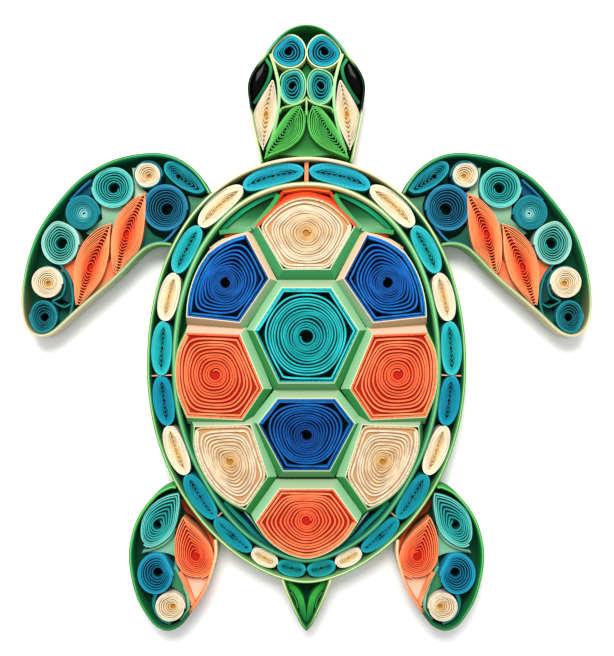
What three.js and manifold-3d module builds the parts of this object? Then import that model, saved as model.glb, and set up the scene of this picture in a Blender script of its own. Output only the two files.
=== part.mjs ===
// A quilled paper sea turtle, lying flat on its backing card.
// Paper strips are wound into coils, pressed to shape, and glued on edge to a card inside rims of
// laminated strip. Millimetres: +X is the turtle's right as seen from above, +Y is its head, +Z is up.
import * as THREE from 'three';
import { ConvexGeometry } from 'three/addons/geometries/ConvexGeometry.js';
import { mergeVertices } from 'three/addons/utils/BufferGeometryUtils.js';
import Module from 'manifold-3d';

const wasm = await Module();
wasm.setup();

// Stock: the card, and the strips, whose width is the height they stand above the card.
const cardThickness = 1.2;
const coilHeight = 6;
const scuteHeight = 8;
const rimHeight = 7.2;
const rimWall = 0.9;
const innerRimWall = 0.9;
const headRimWall = 0.6;
const clearance = 0.3;

// The shell is an egg, widest a little behind its middle.
const shellHalfWidth = 47.85;
const shellFrontLength = 62.7;
const shellRearLength = 65.1;
const shellCentreY = -11.55;
const sideFullness = 0.64;
const frontFullness = 0.55;
const rearFullness = 0.36;

// Border of pressed ovals between the shell's two rims, from outer face to the middle of the inner rim.
const borderWidth = 8.2;
const borderSpacer = 1.2;
const borderOvals = [18.9, 17.4, 15.6, 14.7, 16.2, 15, 15.6, 15.6, 14.4, 8.7, 8.7];

// Scutes: raised coils in collars that slope down to shared valleys. Corners on the turtle's right.
const valleyHeight = 5;
const collarWidth = 2.5;
const crownCollarWidth = 3.4;
const collarEdge = 0.45;
const crownGap = 3.9;
const crownCorner = point(16.05, 28.95);
const upperCorner = point(8.7, 14.25);
const waistCorner = point(18.3, -0.75);
const lowerCorner = point(9.75, -18.9);
const hipCorner = point(17.25, -28.5);
const tailCorner = point(8.4, -45.15);
const crownAtRim = point(7.65, 41.85);
const shoulderAtRim = point(28, 27.3);
const waistAtRim = point(36.45, 0.75);
const hipAtRim = point(34.95, -27.45);
const rumpAtRim = point(16.95, -56.25);

// Limbs, by how far they reach out and how long they are from front to back.
const frontFlipperReach = 58.2;
const frontFlipperSweep = 55.3;
const shoulderAngle = 52.8;
const rearFlipperReach = 32.4;
const rearFlipperSweep = 43.6;
const hipAngle = -53.4;
const headWidth = 34.2;
const headLength = 46.9;
const tailWidth = 17.4;
const tailLength = 19.4;

// Coils: the open eye, the glued outer turn, and how the turns share the room between them.
const outerTurn = 0.55;
const turnShare = 0.5;
const scuteEye = 1.1;
const scuteTurns = 2.25;
const scutePitch = 5.4;
const smallEye = 0.85;
const smallTurns = 1.5;
const leafEye = 0.7;
const tailLeafEye = 0.35;
const ovalEye = 0.45;
const ovalTurns = 1.25;
const ovalSides = 8;
const ovalSquareness = 2.5;
const ovalWeld = 0.15;
const roundSides = 10;
const leafSides = 12;
const leafHandleSpread = 0.22;
const dropSharpness = 1.15;
const coilGap = 0.55;

// How outlines are drawn: points round the shell, points pressed for each one kept, and the turn in
// degrees from which a corner stays sharp.
const rimSides = 46;
const fineness = 4;
const sharpTurn = 25;

// Papers and card, matt apart from the lacquered eyes.
const paper = (color) => new THREE.MeshStandardMaterial({ color, roughness: 0.82, metalness: 0 });
const greenCard = new THREE.MeshStandardMaterial({ color: '#0d4a35', roughness: 0.9, metalness: 0 });
const rimGreen = paper('#2f9a52');
const collarGreen = paper('#7fc48e');
const leafGreen = paper('#3fa447');
const cream = paper('#f4e4c8');
const coral = paper('#ff7f55');
const teal = paper('#18a8a6');
const borderBlue = paper('#0e9db8');
const lightTeal = paper('#4cc0b8');
const seaBlue = paper('#0f78ac');
const royalBlue = paper('#0c4fb0');
const eyeBlack = new THREE.MeshStandardMaterial({ color: '#070707', roughness: 0.12, metalness: 0 });

const turtle = new THREE.Group();
const degree = Math.PI / 180;

// ---- Outlines in the plane, as closed lists of points that run anticlockwise ----

function point(x, y) {
  return new THREE.Vector2(x, y);
}

function mirrored(outline) {
  return outline.map((p) => point(-p.x, p.y)).reverse();
}

function wholeFromRight(half) {
  return [...half, ...mirrored(half.filter((p) => p.x > clearance / 10))];
}

function anticlockwise(outline) {
  return THREE.ShapeUtils.isClockWise(outline) ? outline.toReversed() : outline;
}

// Moves every side outwards by the distance, or inwards where it is negative.
function offset(outline, distance) {
  return outline.map((corner, i) => {
    const before = corner.clone().sub(outline.at(i - 1)).normalize();
    const after = outline[(i + 1) % outline.length].clone().sub(corner).normalize();
    const shift = point(before.y + after.y, -before.x - after.x);
    return corner.clone().addScaledVector(shift, distance / (1 + before.dot(after)));
  });
}

// Keeps what lies to the left of the line from start to end, less an inset.
function trim(outline, start, end, inset) {
  const along = end.clone().sub(start).normalize();
  const depth = (p) => along.cross(p.clone().sub(start)) - inset;
  return outline.flatMap((corner, i) => {
    const next = outline[(i + 1) % outline.length];
    const here = depth(corner);
    const there = depth(next);
    const kept = here >= 0 ? [corner] : [];
    if (here * there < 0) kept.push(corner.clone().lerp(next, here / (here - there)));
    return kept;
  });
}

// How far the straight way between two points gets before it meets an outline, as a share of it.
function reach(from, to, outlines) {
  const way = to.clone().sub(from);
  let share = 1;
  for (const outline of outlines) {
    outline.forEach((start, i) => {
      const side = outline[(i + 1) % outline.length].clone().sub(start);
      const across = way.cross(side);
      const gap = start.clone().sub(from);
      const onWay = gap.cross(side) / across;
      const onSide = gap.cross(way) / across;
      if (onWay > 0 && onSide >= 0 && onSide <= 1) share = Math.min(share, onWay);
    });
  }
  return share;
}

// A coil gives way to the walls and coils that it is pushed against, and keeps its eye.
function pressed(outline, eye, walls) {
  return outline.map((p) => eye.clone().lerp(p, reach(eye, p, walls)));
}

// Spaces points evenly along the stretches between sharp corners, which stay.
function respaced(outline, pitch) {
  const turnAt = (i) => {
    const before = outline[i].clone().sub(outline.at(i - 1));
    const after = outline[(i + 1) % outline.length].clone().sub(outline[i]);
    return Math.abs(Math.atan2(before.cross(after), before.dot(after))) / degree;
  };
  const corners = outline.map((_, i) => i).filter((i) => turnAt(i) > sharpTurn);
  return corners.flatMap((start, i) => {
    const end = corners[(i + 1) % corners.length];
    const count = (end - start + outline.length) % outline.length;
    const stretch = Array.from({ length: count + 1 }, (_, k) => outline[(start + k) % outline.length]);
    const path = new THREE.CurvePath();
    stretch.slice(1).forEach((p, k) => path.add(new THREE.LineCurve(stretch[k], p)));
    return path.getSpacedPoints(Math.max(1, Math.round(path.getLength() / pitch))).slice(0, -1);
  });
}

// ---- Solids ----

function prism(outline, base, height, holes = []) {
  const shape = new THREE.Shape(outline);
  shape.holes = holes.map((hole) => new THREE.Path(hole));
  const geometry = new THREE.ExtrudeGeometry(shape, { depth: height, bevelEnabled: false });
  return geometry.translate(0, 0, base);
}

function toSolid(geometry) {
  const bare = geometry.index ? geometry.toNonIndexed() : geometry.clone();
  bare.deleteAttribute('normal');
  bare.deleteAttribute('uv');
  const merged = mergeVertices(bare);
  const vertProperties = new Float32Array(merged.attributes.position.array);
  const triVerts = new Uint32Array(merged.index.array);
  return new wasm.Manifold(new wasm.Mesh({ numProp: 3, vertProperties, triVerts }));
}

function toGeometry(solid) {
  const { vertProperties, triVerts } = solid.getMesh();
  const geometry = new THREE.BufferGeometry();
  geometry.setAttribute('position', new THREE.BufferAttribute(vertProperties, 3));
  geometry.setIndex(new THREE.BufferAttribute(triVerts, 1));
  return geometry;
}

function joined(geometries) {
  return geometries.map(toSolid).reduce((all, next) => all.add(next));
}

function add(name, geometry, material) {
  const mesh = new THREE.Mesh(geometry, material);
  mesh.name = name;
  turtle.add(mesh);
}

// ---- The wound coil ----

// The slot between the turns of a coil. It starts as the open eye, winds out through the turns and
// ends inside the outer turn, which is closed because the strip's end is glued to it.
function windingSlot(outline, eye, eyeRadius, turns) {
  const steps = outline.length;
  const last = Math.round(turns * steps);
  const spokes = outline.map((p) => p.clone().sub(eye));
  const lengths = spokes.map((spoke) => spoke.length());
  const nearest = lengths.indexOf(Math.min(...lengths));
  const at = (step, back) => {
    const spoke = spokes[(nearest + step) % steps];
    const room = spoke.length() - outerTurn - eyeRadius;
    const radius = eyeRadius + room * (step - back * steps) / last;
    return eye.clone().addScaledVector(spoke, radius / spoke.length());
  };
  const outward = Array.from({ length: last + 1 }, (_, step) => at(step, 0));
  const inward = Array.from({ length: last - steps + 1 }, (_, k) => at(last - k, turnShare));
  return [...outward, ...inward];
}

function coil(outline, eye, eyeRadius, turns, height) {
  return prism(outline, cardThickness, height, [windingSlot(outline, eye, eyeRadius, turns)]);
}

function addMirroredCoil(name, material, outline, eye, eyeRadius, turns, height) {
  add(`${name}_right`, coil(outline, eye, eyeRadius, turns, height), material);
  const leftEye = point(-eye.x, eye.y);
  add(`${name}_left`, coil(mirrored(outline), leftEye, eyeRadius, turns, height), material);
}

// ---- Shell: egg, rims and border ----

function egg(inset, count) {
  const front = shellCentreY + shellFrontLength;
  const rear = shellCentreY - shellRearLength;
  const wide = shellHalfWidth;
  const frontPull = shellCentreY + shellFrontLength * sideFullness;
  const rearPull = shellCentreY - shellRearLength * sideFullness;
  const shape = new THREE.Shape();
  shape.moveTo(0, rear);
  shape.bezierCurveTo(wide * rearFullness, rear, wide, rearPull, wide, shellCentreY);
  shape.bezierCurveTo(wide, frontPull, wide * frontFullness, front, 0, front);
  shape.bezierCurveTo(-wide * frontFullness, front, -wide, frontPull, -wide, shellCentreY);
  shape.bezierCurveTo(-wide, rearPull, -wide * rearFullness, rear, 0, rear);
  return offset(shape.getSpacedPoints(count).slice(0, -1), -inset);
}

const shellEdge = egg(0, rimSides);
const shellWall = offset(shellEdge, clearance);
const shellCutter = () => toSolid(prism(shellWall, -cardThickness, 4 * scuteHeight));

add('shell_outer_rim', prism(shellEdge, cardThickness, rimHeight, [egg(rimWall, rimSides)]), rimGreen);

// Ovals rolled from strip, pressed flat and glued end to end round the channel between the rims.
function borderChain() {
  const outerFace = rimWall;
  const innerFace = borderWidth - innerRimWall / 2;
  const halfWidth = (innerFace - outerFace) / 2 - clearance;
  const middle = egg((outerFace + innerFace) / 2, 2 * rimSides);
  const midline = new THREE.SplineCurve(middle.filter((p) => p.x > -clearance).reverse());
  const whole = midline.getLength();
  let start = borderSpacer / 2 + clearance + ovalWeld;
  const end = whole - clearance - ovalWeld;
  const share = (end - start) / borderOvals.reduce((sum, length) => sum + length);
  return joined(borderOvals.map((drawnLength) => {
    const length = drawnLength * share;
    const middleOf = start + length / 2;
    start += length;
    const place = (along, across) => {
      const at = (middleOf + along * (length / 2 + ovalWeld)) / whole;
      const tangent = midline.getTangentAt(at);
      const side = point(-tangent.y, tangent.x).multiplyScalar(across * halfWidth);
      return midline.getPointAt(at).add(side);
    };
    const widest = Math.cos(Math.PI / ovalSides);
    const rounded = (value) => Math.sign(value) * Math.abs(value / widest) ** (2 / ovalSquareness);
    const outline = Array.from({ length: ovalSides }, (_, k) => {
      const angle = 2 * Math.PI * (k + 0.5) / ovalSides;
      return place(rounded(Math.cos(angle)), rounded(Math.sin(angle)));
    });
    return coil(outline, place(0, 0), ovalEye, ovalTurns, coilHeight);
  }));
}

const rightChain = borderChain();
add('border_ovals_right', toGeometry(rightChain), borderBlue);
add('border_ovals_left', toGeometry(rightChain.mirror([1, 0, 0])), borderBlue);

// ---- Shell: scutes in their frame ----

// Each scute is the shell's inside, trimmed by the valleys round it; a valley runs between two
// points with the scute to its left. The coil stands inside its collar.
const opposite = (p) => point(-p.x, p.y);
const centreScute = (corners) => {
  const ring = [...corners, ...corners.map(opposite).reverse()];
  return ring.map((corner, i) => [corner, ring[(i + 1) % ring.length]]);
};
const openScute = (corners) => corners.slice(1).map((corner, i) => [corners[i], corner]);
const scutes = [
  {
    name: 'scute_crown', material: cream, eye: point(0, 28.35),
    collar: crownCollarWidth, gap: crownGap,
    valleys: openScute([opposite(crownAtRim), opposite(crownCorner), opposite(upperCorner),
      upperCorner, crownCorner, crownAtRim]),
  },
  {
    name: 'scute_centre', material: teal, eye: point(0, -2.85),
    valleys: centreScute([lowerCorner, waistCorner, upperCorner]),
  },
  {
    name: 'scute_saddle', material: royalBlue, eye: point(0, -32.4),
    valleys: centreScute([tailCorner, hipCorner, lowerCorner]),
  },
  {
    name: 'scute_tail', material: coral, eye: point(0, -57.45),
    valleys: openScute([rumpAtRim, tailCorner, opposite(tailCorner), opposite(rumpAtRim)]),
  },
  {
    name: 'scute_shoulder', material: royalBlue, eye: point(24.15, 13.35), paired: true,
    valleys: openScute([shoulderAtRim, crownCorner, upperCorner, waistCorner, waistAtRim]),
  },
  {
    name: 'scute_flank', material: coral, eye: point(27.15, -14.1), paired: true,
    valleys: openScute([waistAtRim, waistCorner, lowerCorner, hipCorner, hipAtRim]),
  },
  {
    name: 'scute_hip', material: cream, eye: point(22.8, -40.05), paired: true,
    valleys: openScute([hipAtRim, hipCorner, tailCorner, rumpAtRim]),
  },
];

function scuteOutline(scute, rimInset, collar) {
  const inside = egg(borderWidth + rimInset, rimSides);
  return scute.valleys.reduce((shape, [start, end]) => trim(shape, start, end, collar), inside);
}

function addScutes() {
  const coilSeat = innerRimWall / 2 + clearance + collarEdge;
  const innerRim = egg(borderWidth - innerRimWall / 2, rimSides);
  const innerRimHole = egg(borderWidth + innerRimWall / 2, rimSides);
  let frame = toSolid(prism(innerRim, cardThickness, rimHeight, [innerRimHole]));
  const wells = [];
  for (const scute of scutes) {
    const collar = scute.collar ?? collarWidth;
    const gap = scute.gap ?? coilSeat;
    const outline = respaced(scuteOutline(scute, gap, collar), scutePitch);
    const well = offset(outline, clearance);
    const lip = offset(outline, clearance + collarEdge);
    const valley = scuteOutline(scute, 0, -ovalWeld / 2);
    const levels = [
      ...valley.map((p) => new THREE.Vector3(p.x, p.y, cardThickness)),
      ...valley.map((p) => new THREE.Vector3(p.x, p.y, cardThickness + valleyHeight)),
      ...lip.map((p) => new THREE.Vector3(p.x, p.y, cardThickness + scuteHeight)),
    ];
    const mound = toSolid(new ConvexGeometry(levels));
    const hole = toSolid(prism(well, -cardThickness, 4 * scuteHeight));
    frame = frame.add(mound);
    wells.push(hole);
    if (scute.paired) {
      frame = frame.add(mound.mirror([1, 0, 0]));
      wells.push(hole.mirror([1, 0, 0]));
      const { name, material, eye } = scute;
      addMirroredCoil(name, material, outline, eye, scuteEye, scuteTurns, scuteHeight);
    } else {
      add(scute.name, coil(outline, scute.eye, scuteEye, scuteTurns, scuteHeight), scute.material);
    }
  }
  for (const well of wells) frame = frame.subtract(well);
  add('scute_frame', toGeometry(frame), collarGreen);
}

addScutes();

// ---- Limbs, head and tail: a rim bent round coils that were pressed into it ----

// A limb is drawn in millimetres from its root on the shell, and stretched to its named size.
function makeLimb(root, drawn, width, length, sides, { halved = false, wall = rimWall } = {}) {
  const curve = new THREE.SplineCurve(drawn);
  const half = curve.getSpacedPoints(sides);
  const drawnEdge = anticlockwise(halved ? wholeFromRight(half) : half);
  const box = new THREE.Box2().setFromPoints(drawnEdge);
  const size = box.getSize(point(0, 0));
  const place = (p) => point(root.x + p.x * width / size.x, root.y + p.y * length / size.y);
  const edge = drawnEdge.map(place);
  const room = offset(edge, -wall - clearance);
  return { place, edge, wall, walls: [room, shellWall] };
}

function rimOf(limb) {
  const ring = prism(limb.edge, cardThickness, rimHeight, [offset(limb.edge, -limb.wall)]);
  return toGeometry(toSolid(ring).subtract(shellCutter()));
}

const ellipse = (centre, halfLength, halfWidth, tilt = 0) => {
  const fine = fineness * roundSides;
  return Array.from({ length: fine }, (_, k) => {
    const angle = 2 * Math.PI * (k + 0.5) / fine;
    const p = point(halfLength * Math.cos(angle), halfWidth * Math.sin(angle));
    return p.rotateAround(point(0, 0), tilt * degree).add(centre);
  });
};

// A leaf runs from tip to tip; each side bulges by a height at a share of the length.
const leaf = (tip, foot, [rightBulge, rightAt], [leftBulge, leftAt]) => {
  const along = foot.clone().sub(tip);
  const across = point(-along.y, along.x).normalize();
  const side = (bulge, at) => {
    const rise = across.clone().multiplyScalar(bulge * 4 / 3);
    const handle = (share) => tip.clone().addScaledVector(along, share).add(rise);
    const near = handle(at - leafHandleSpread);
    const far = handle(at + leafHandleSpread);
    const curve = new THREE.CubicBezierCurve(tip, near, far, foot);
    return curve.getSpacedPoints(fineness * leafSides / 2).slice(0, -1);
  };
  const left = side(leftBulge, leftAt);
  const right = side(-rightBulge, rightAt);
  return anticlockwise([...left, foot, ...right.slice(1).reverse()]);
};

// A drop is round at its foot and runs out to one tip.
const drop = (tip, foot, width) => {
  const fine = fineness * leafSides;
  const centre = tip.clone().add(foot).divideScalar(2);
  const half = tip.clone().sub(centre);
  const across = point(-half.y, half.x).normalize();
  const angles = Array.from({ length: fine }, (_, k) => 2 * Math.PI * k / fine);
  const wide = (angle) => Math.sin(angle) * Math.sin(angle / 2) ** dropSharpness;
  const widest = 2 * Math.max(...angles.map(wide));
  return angles.map((angle) => {
    const sideways = across.clone().multiplyScalar(width * wide(angle) / widest);
    return centre.clone().addScaledVector(half, Math.cos(angle)).add(sideways);
  });
};

// A straight wall along the turtle's middle, for the coils of its right side.
function middleWall(x) {
  const far = 2 * (shellFrontLength + headLength);
  return [point(x - 1, -far), point(x, -far), point(x, far), point(x - 1, far)];
}

// Presses each coil of a limb against the rim and the coils already glued in, then thins its points.
function fillLimb(limb, coils) {
  const walls = [...limb.walls];
  return coils.map(({ shape, eye, ...rest }) => {
    const centre = limb.place(eye);
    const fine = pressed(shape.map(limb.place), centre, walls);
    walls.push(offset(fine, coilGap));
    return { ...rest, eye: centre, outline: fine.filter((_, k) => k % fineness === 0) };
  });
}

function addLimbCoils(limb, coils) {
  for (const { name, material, outline, eye, eyeRadius } of fillLimb(limb, coils)) {
    addMirroredCoil(name, material, outline, eye, eyeRadius ?? smallEye, smallTurns, coilHeight);
  }
}

// A coil pressed a little out of round, and one pressed to a leaf or a drop.
function round(name, material, eye, halfLength, halfWidth, tilt) {
  return { name, material, eye, shape: ellipse(eye, halfLength, halfWidth, tilt) };
}

function leafCoil(name, material, shape, eye, eyeRadius = leafEye) {
  return { name, material, eye, shape, eyeRadius };
}

// Where a limb is rooted: the point of the shell's edge in a direction from the shell's centre.
function onShellEdge(angle) {
  const centre = point(0, shellCentreY);
  const away = point(4 * shellHalfWidth, 0).rotateAround(point(0, 0), angle * degree).add(centre);
  return centre.clone().lerp(away, reach(centre, away, [shellEdge]));
}

// Front flipper.
const frontFlipper = makeLimb(onShellEdge(shoulderAngle), [
  point(-7.35, 3), point(-3.5, 10.7), point(3, 16.6), point(11, 18.8), point(22.65, 17.1),
  point(30.8, 13), point(36.15, 8.7), point(45.15, -3.3), point(49.5, -15), point(50.75, -24),
  point(50.1, -32), point(47.4, -36.2), point(43, -36), point(34.05, -27.9), point(22.05, -18),
  point(14.5, -10.8), point(9, -8.5), point(0, -12),
], frontFlipperReach, frontFlipperSweep, 36);

const upperLeaf = leaf(point(14.55, 7.65), point(23.55, -18.3), [4.2, 0.58], [6, 0.42]);
const lowerLeaf = leaf(point(25.05, -1.5), point(34.95, -28.05), [4.05, 0.6], [6.1, 0.5]);
addLimbCoils(frontFlipper, [
  round('front_root_oval', teal, point(1.95, 11.4), 7.8, 3.6, 33),
  round('front_blue_coil', seaBlue, point(8.1, 2.2), 6.8, 7.1),
  round('front_upper_cream_coil', cream, point(13.5, 12.3), 4.4, 4.4),
  round('front_upper_teal_coil', lightTeal, point(24.1, 8.7), 6.4, 6.3),
  round('front_middle_teal_coil', teal, point(33.15, 1.05), 5.3, 5.3),
  round('front_lower_teal_coil', lightTeal, point(39.9, -8), 5.8, 6.8),
  round('front_lower_cream_coil', cream, point(43.8, -19.9), 4.8, 4.8),
  round('front_tip_coil', teal, point(45, -30.3), 4.4, 5.3),
  leafCoil('front_upper_coral_leaf', coral, upperLeaf, point(20.25, -4.8)),
  leafCoil('front_lower_coral_leaf', coral, lowerLeaf, point(31.05, -15)),
]);

// Rear flipper.
const rearFlipper = makeLimb(onShellEdge(hipAngle), [
  point(3, 8.4), point(7.05, 9), point(12.15, 6.3), point(17.55, -0.9), point(19.95, -9.6),
  point(19.65, -17.4), point(17.25, -26.1), point(12.45, -33.3), point(8.55, -35.1),
  point(4.35, -33.3), point(-3.15, -22.5), point(-6.45, -11.7), point(-6.6, -6), point(-12.4, -3),
], rearFlipperReach, rearFlipperSweep, 24);

const tealDrop = drop(point(6.3, 6.75), point(16.8, -9.9), 12.3);
const coralDrop = drop(point(4.8, -0.75), point(-0.3, -20.4), 13);
addLimbCoils(rearFlipper, [
  leafCoil('rear_teal_drop', lightTeal, tealDrop, point(12.45, -3.9), smallEye),
  leafCoil('rear_coral_drop', coral, coralDrop, point(1.05, -13.2), smallEye),
  round('rear_blue_coil', seaBlue, point(12.3, -18.2), 5.6, 6.4),
  round('rear_cream_coil', cream, point(7.9, -28.3), 4.6, 4.6),
]);

for (const [name, limb] of [['front', frontFlipper], ['rear', rearFlipper]]) {
  const rim = rimOf(limb);
  add(`${name}_flipper_rim_right`, rim, rimGreen);
  add(`${name}_flipper_rim_left`, toGeometry(toSolid(rim).mirror([1, 0, 0])), rimGreen);
}

// Head. Its coils are pressed against their twins along the middle, too.
const neckRoot = point(0, shellCentreY + shellFrontLength);
const head = makeLimb(neckRoot, [
  point(12.6, -7), point(13.65, -1.8), point(14.85, 3.9), point(16.35, 11.1), point(17.1, 18.3),
  point(16.05, 25.5), point(13.65, 29.1), point(11.25, 32.7), point(8.25, 36.3), point(4.35, 39),
  point(0, 39.9),
], headWidth, headLength, 20, { halved: true, wall: headRimWall });
head.walls.push(middleWall(clearance / 2));

const eyeShape = leaf(point(12.1, 29.1), point(16.2, 17.2), [2, 0.5], [4.6, 0.5]);
const cheekShape = leaf(point(10.05, 23.9), point(13.3, 2), [2.8, 0.48], [4.5, 0.57]);
const neckLeafShape = leaf(point(2.5, 15.4), point(12.9, -0.2), [5.4, 0.42], [2.1, 0.36]);
const headCoils = fillLimb(head, [
  leafCoil('eye', eyeBlack, eyeShape, point(14.5, 23)),
  round('brow_coil', borderBlue, point(5.3, 32.1), 5.5, 5.1, 20),
  round('crown_coil', teal, point(4.2, 21.6), 4.2, 5.7),
  leafCoil('cheek_coil', cream, cheekShape, point(12, 13.2)),
  leafCoil('neck_leaf', leafGreen, neckLeafShape, point(6.6, 7.9)),
]);
for (const { name, material, outline, eye, eyeRadius } of headCoils) {
  if (name === 'eye') {
    add('eye_right', prism(outline, cardThickness, coilHeight), material);
    add('eye_left', prism(mirrored(outline), cardThickness, coilHeight), material);
  } else {
    addMirroredCoil(name, material, outline, eye, eyeRadius ?? smallEye, smallTurns, coilHeight);
  }
}
add('head_rim', rimOf(head), rimGreen);

// Tail: two leaves glued side by side in a pointed rim.
const tailRoot = point(0, shellCentreY - shellRearLength);
const tail = makeLimb(tailRoot, [
  point(0, -14.4), point(1.6, -12.6), point(5.1, -5.4), point(7.65, 1.2), point(8.7, 5),
], tailWidth, tailLength, 8, { halved: true });
tail.walls.push(middleWall(-ovalWeld));
const tailLeafShape = leaf(point(3.6, -1.2), point(0.2, -12.8), [2.4, 0.4], [2.6, 0.4]);
const [tailLeaf] = fillLimb(tail, [{ shape: tailLeafShape, eye: point(2.3, -5) }]);
const rightTailLeaf = toSolid(coil(tailLeaf.outline, tailLeaf.eye, tailLeafEye, smallTurns, coilHeight));
add('tail_leaves', toGeometry(rightTailLeaf.add(rightTailLeaf.mirror([1, 0, 0]))), leafGreen);
add('tail_rim', rimOf(tail), rimGreen);

// ---- Backing card, cut to the outline of the whole turtle ----

const cardPieces = [shellEdge, head.edge, tail.edge];
for (const limb of [frontFlipper, rearFlipper]) cardPieces.push(limb.edge, mirrored(limb.edge));
add('backing_card', toGeometry(joined(cardPieces.map((edge) => prism(edge, 0, cardThickness)))), greenCard);

export default turtle;
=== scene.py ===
# Sea turtle in quilled paper: strips wound into coils, pressed to shape and glued on edge to a card.
import contextlib
import math
import bpy
import numpy as np
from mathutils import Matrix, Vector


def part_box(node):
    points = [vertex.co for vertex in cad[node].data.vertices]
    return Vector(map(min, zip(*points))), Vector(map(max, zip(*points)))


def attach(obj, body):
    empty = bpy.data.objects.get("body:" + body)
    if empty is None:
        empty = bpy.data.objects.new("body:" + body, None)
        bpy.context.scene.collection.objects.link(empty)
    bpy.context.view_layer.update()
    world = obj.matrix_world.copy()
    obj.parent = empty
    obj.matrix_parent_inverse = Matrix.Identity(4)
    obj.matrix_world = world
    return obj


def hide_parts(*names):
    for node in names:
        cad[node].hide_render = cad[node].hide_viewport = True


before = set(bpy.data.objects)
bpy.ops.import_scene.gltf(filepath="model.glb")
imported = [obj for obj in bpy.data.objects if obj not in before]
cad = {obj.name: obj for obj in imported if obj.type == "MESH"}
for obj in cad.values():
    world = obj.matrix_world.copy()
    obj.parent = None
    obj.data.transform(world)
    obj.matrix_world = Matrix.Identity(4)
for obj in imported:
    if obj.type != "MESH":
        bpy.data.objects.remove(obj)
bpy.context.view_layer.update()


# ---- Camera ----
# It looks straight down on the middle of the turtle, which lies flat, from a little over a forearm's
# length. Lengths are in metres where millimetres aren't mentioned.
mm = 0.001
eye_level = 270 * mm
strip_level = 8 * mm
view_height = 196.8 * mm
bpy.ops.object.camera_add(location=(0.15 * mm, -0.15 * mm, eye_level))
camera = bpy.context.object
camera.data.lens = camera.data.sensor_width * (eye_level - strip_level) / view_height
camera.data.clip_start = 10 * mm
bpy.context.scene.camera = camera
bpy.context.scene.view_settings.view_transform = "Standard"


# ---- Floor and light ----
# A pale paper sheet lies under the turtle. A wide soft lamp hangs beyond its head, in an even pale
# surround.
def linear(colour):
    """A colour written as sRGB hex, as Blender's linear red, green, blue and alpha."""
    parts = [int(colour[i:i + 2], 16) / 255 for i in (1, 3, 5)]
    return [c / 12.92 if c <= 0.04045 else ((c + 0.055) / 1.055) ** 2.4 for c in parts] + [1]


def add(tree, kind, links=None, **settings):
    """Adds a node; settings are its own properties, links maps an input to a value or to a socket."""
    node = tree.nodes.new("ShaderNode" + kind)
    for key, value in settings.items():
        setattr(node, key, value)
    for key, value in (links or {}).items():
        if isinstance(value, bpy.types.NodeSocket):
            tree.links.new(value, node.inputs[key])
        else:
            node.inputs[key].default_value = value
    return node


def maths(tree, operation, a, b):
    """Two values worked together."""
    return add(tree, "Math", {0: a, 1: b}, operation=operation).outputs[0]


def mapped(tree, value, low, high, to_low=0.0, to_high=1.0):
    """A value taken from one range to another."""
    return add(tree, "MapRange", {"Value": value, "From Min": low, "From Max": high, "To Min": to_low,
        "To Max": to_high}).outputs[0]


def paper(name, stops, attribute="wound", span=None, grain=0.05, streaks=0, light=1.2):
    """Quilling paper: matt, uncoated and dyed through, with short fibres. The dye follows its stops
    along the strip, or over a span in metres from the tail's end to the head's: a list of colours is
    spread evenly, and a table gives each colour's place from 0 to 1. A strip takes the dye more or
    less deeply in streaks, and where it has them its faces are painted darker the less they point up,
    so that its upward cut edge is palest: painted shade of light from above. The stops are the colours
    of a cut edge that faces up; light is how bright the lamps make such an edge."""
    material = bpy.data.materials.new(name)
    material.use_nodes = True
    tree = material.node_tree
    shader = tree.nodes["Principled BSDF"]
    place = add(tree, "TexCoord").outputs["Object"]
    if span:
        along = mapped(tree, add(tree, "SeparateXYZ", {0: place}).outputs["Y"], *span)
    else:
        along = add(tree, "Attribute", attribute_name=attribute).outputs["Fac"]
    dye = add(tree, "ValToRGB", {"Fac": along})
    if isinstance(stops, list):
        stops = {k / (len(stops) - 1): colour for k, colour in enumerate(stops)}
    points = dye.color_ramp.elements
    while len(points) < len(stops):
        points.new(0.5)
    for point, (position, colour) in zip(points, stops.items()):
        point.position = position
        point.color = linear(colour)
    # Fibres about a third of a millimetre long, which is about the finest that shows.
    fibre = add(tree, "TexNoise", {"Vector": place, "Scale": 1 / (0.35 * mm), "Detail": 3.0}).outputs["Fac"]
    cloud = add(tree, "TexNoise", {"Vector": place, "Scale": 1 / (9 * mm), "Detail": 2.0}).outputs["Fac"]
    mixed = maths(tree, "ADD", fibre, cloud)
    shade = mapped(tree, mixed, 0.6, 1.4, (1 - grain) / light, (1 + grain) / light)
    if streaks:
        way = maths(tree, "MULTIPLY", along, float(streaks))
        streak = add(tree, "TexNoise", {"W": way, "Scale": 1.0, "Detail": 1.0}, noise_dimensions="1D")
        depth = mapped(tree, streak.outputs["Fac"], 0.3, 0.7, 0.8, 1.15)
        # Faces are painted darker the less they point up, down to four fifths: painted shade of light from
        # above.
        facing = add(tree, "SeparateXYZ", {0: add(tree, "NewGeometry").outputs["Normal"]}).outputs["Z"]
        edge = mapped(tree, facing, 0.0, 1.0, 0.8, 1.0)
        shade = maths(tree, "MULTIPLY", shade, maths(tree, "MULTIPLY", depth, edge))
    shaded = add(tree, "VectorMath", {0: dye.outputs["Color"], "Scale": shade}, operation="SCALE")
    bump = add(tree, "Bump", {"Height": fibre, "Strength": 0.12, "Distance": 0.05 * mm})
    tree.links.new(shaded.outputs[0], shader.inputs["Base Color"])
    tree.links.new(bump.outputs[0], shader.inputs["Normal"])
    shader.inputs["Roughness"].default_value = 0.8
    shader.inputs["IOR"].default_value = 1.45
    shader.inputs["Specular IOR Level"].default_value = 0.15
    return material


bpy.ops.object.select_all(action="DESELECT")
bpy.ops.mesh.primitive_plane_add(size=3, location=(0, 0, -0.1 * mm))
floor = bpy.context.object
floor.name = "floor"
floor.data.materials.append(paper("pale_backdrop_paper", ["#f6f6f6", "#f6f6f6"], span=(0, 1), grain=0.01,
    light=1.0))

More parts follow.
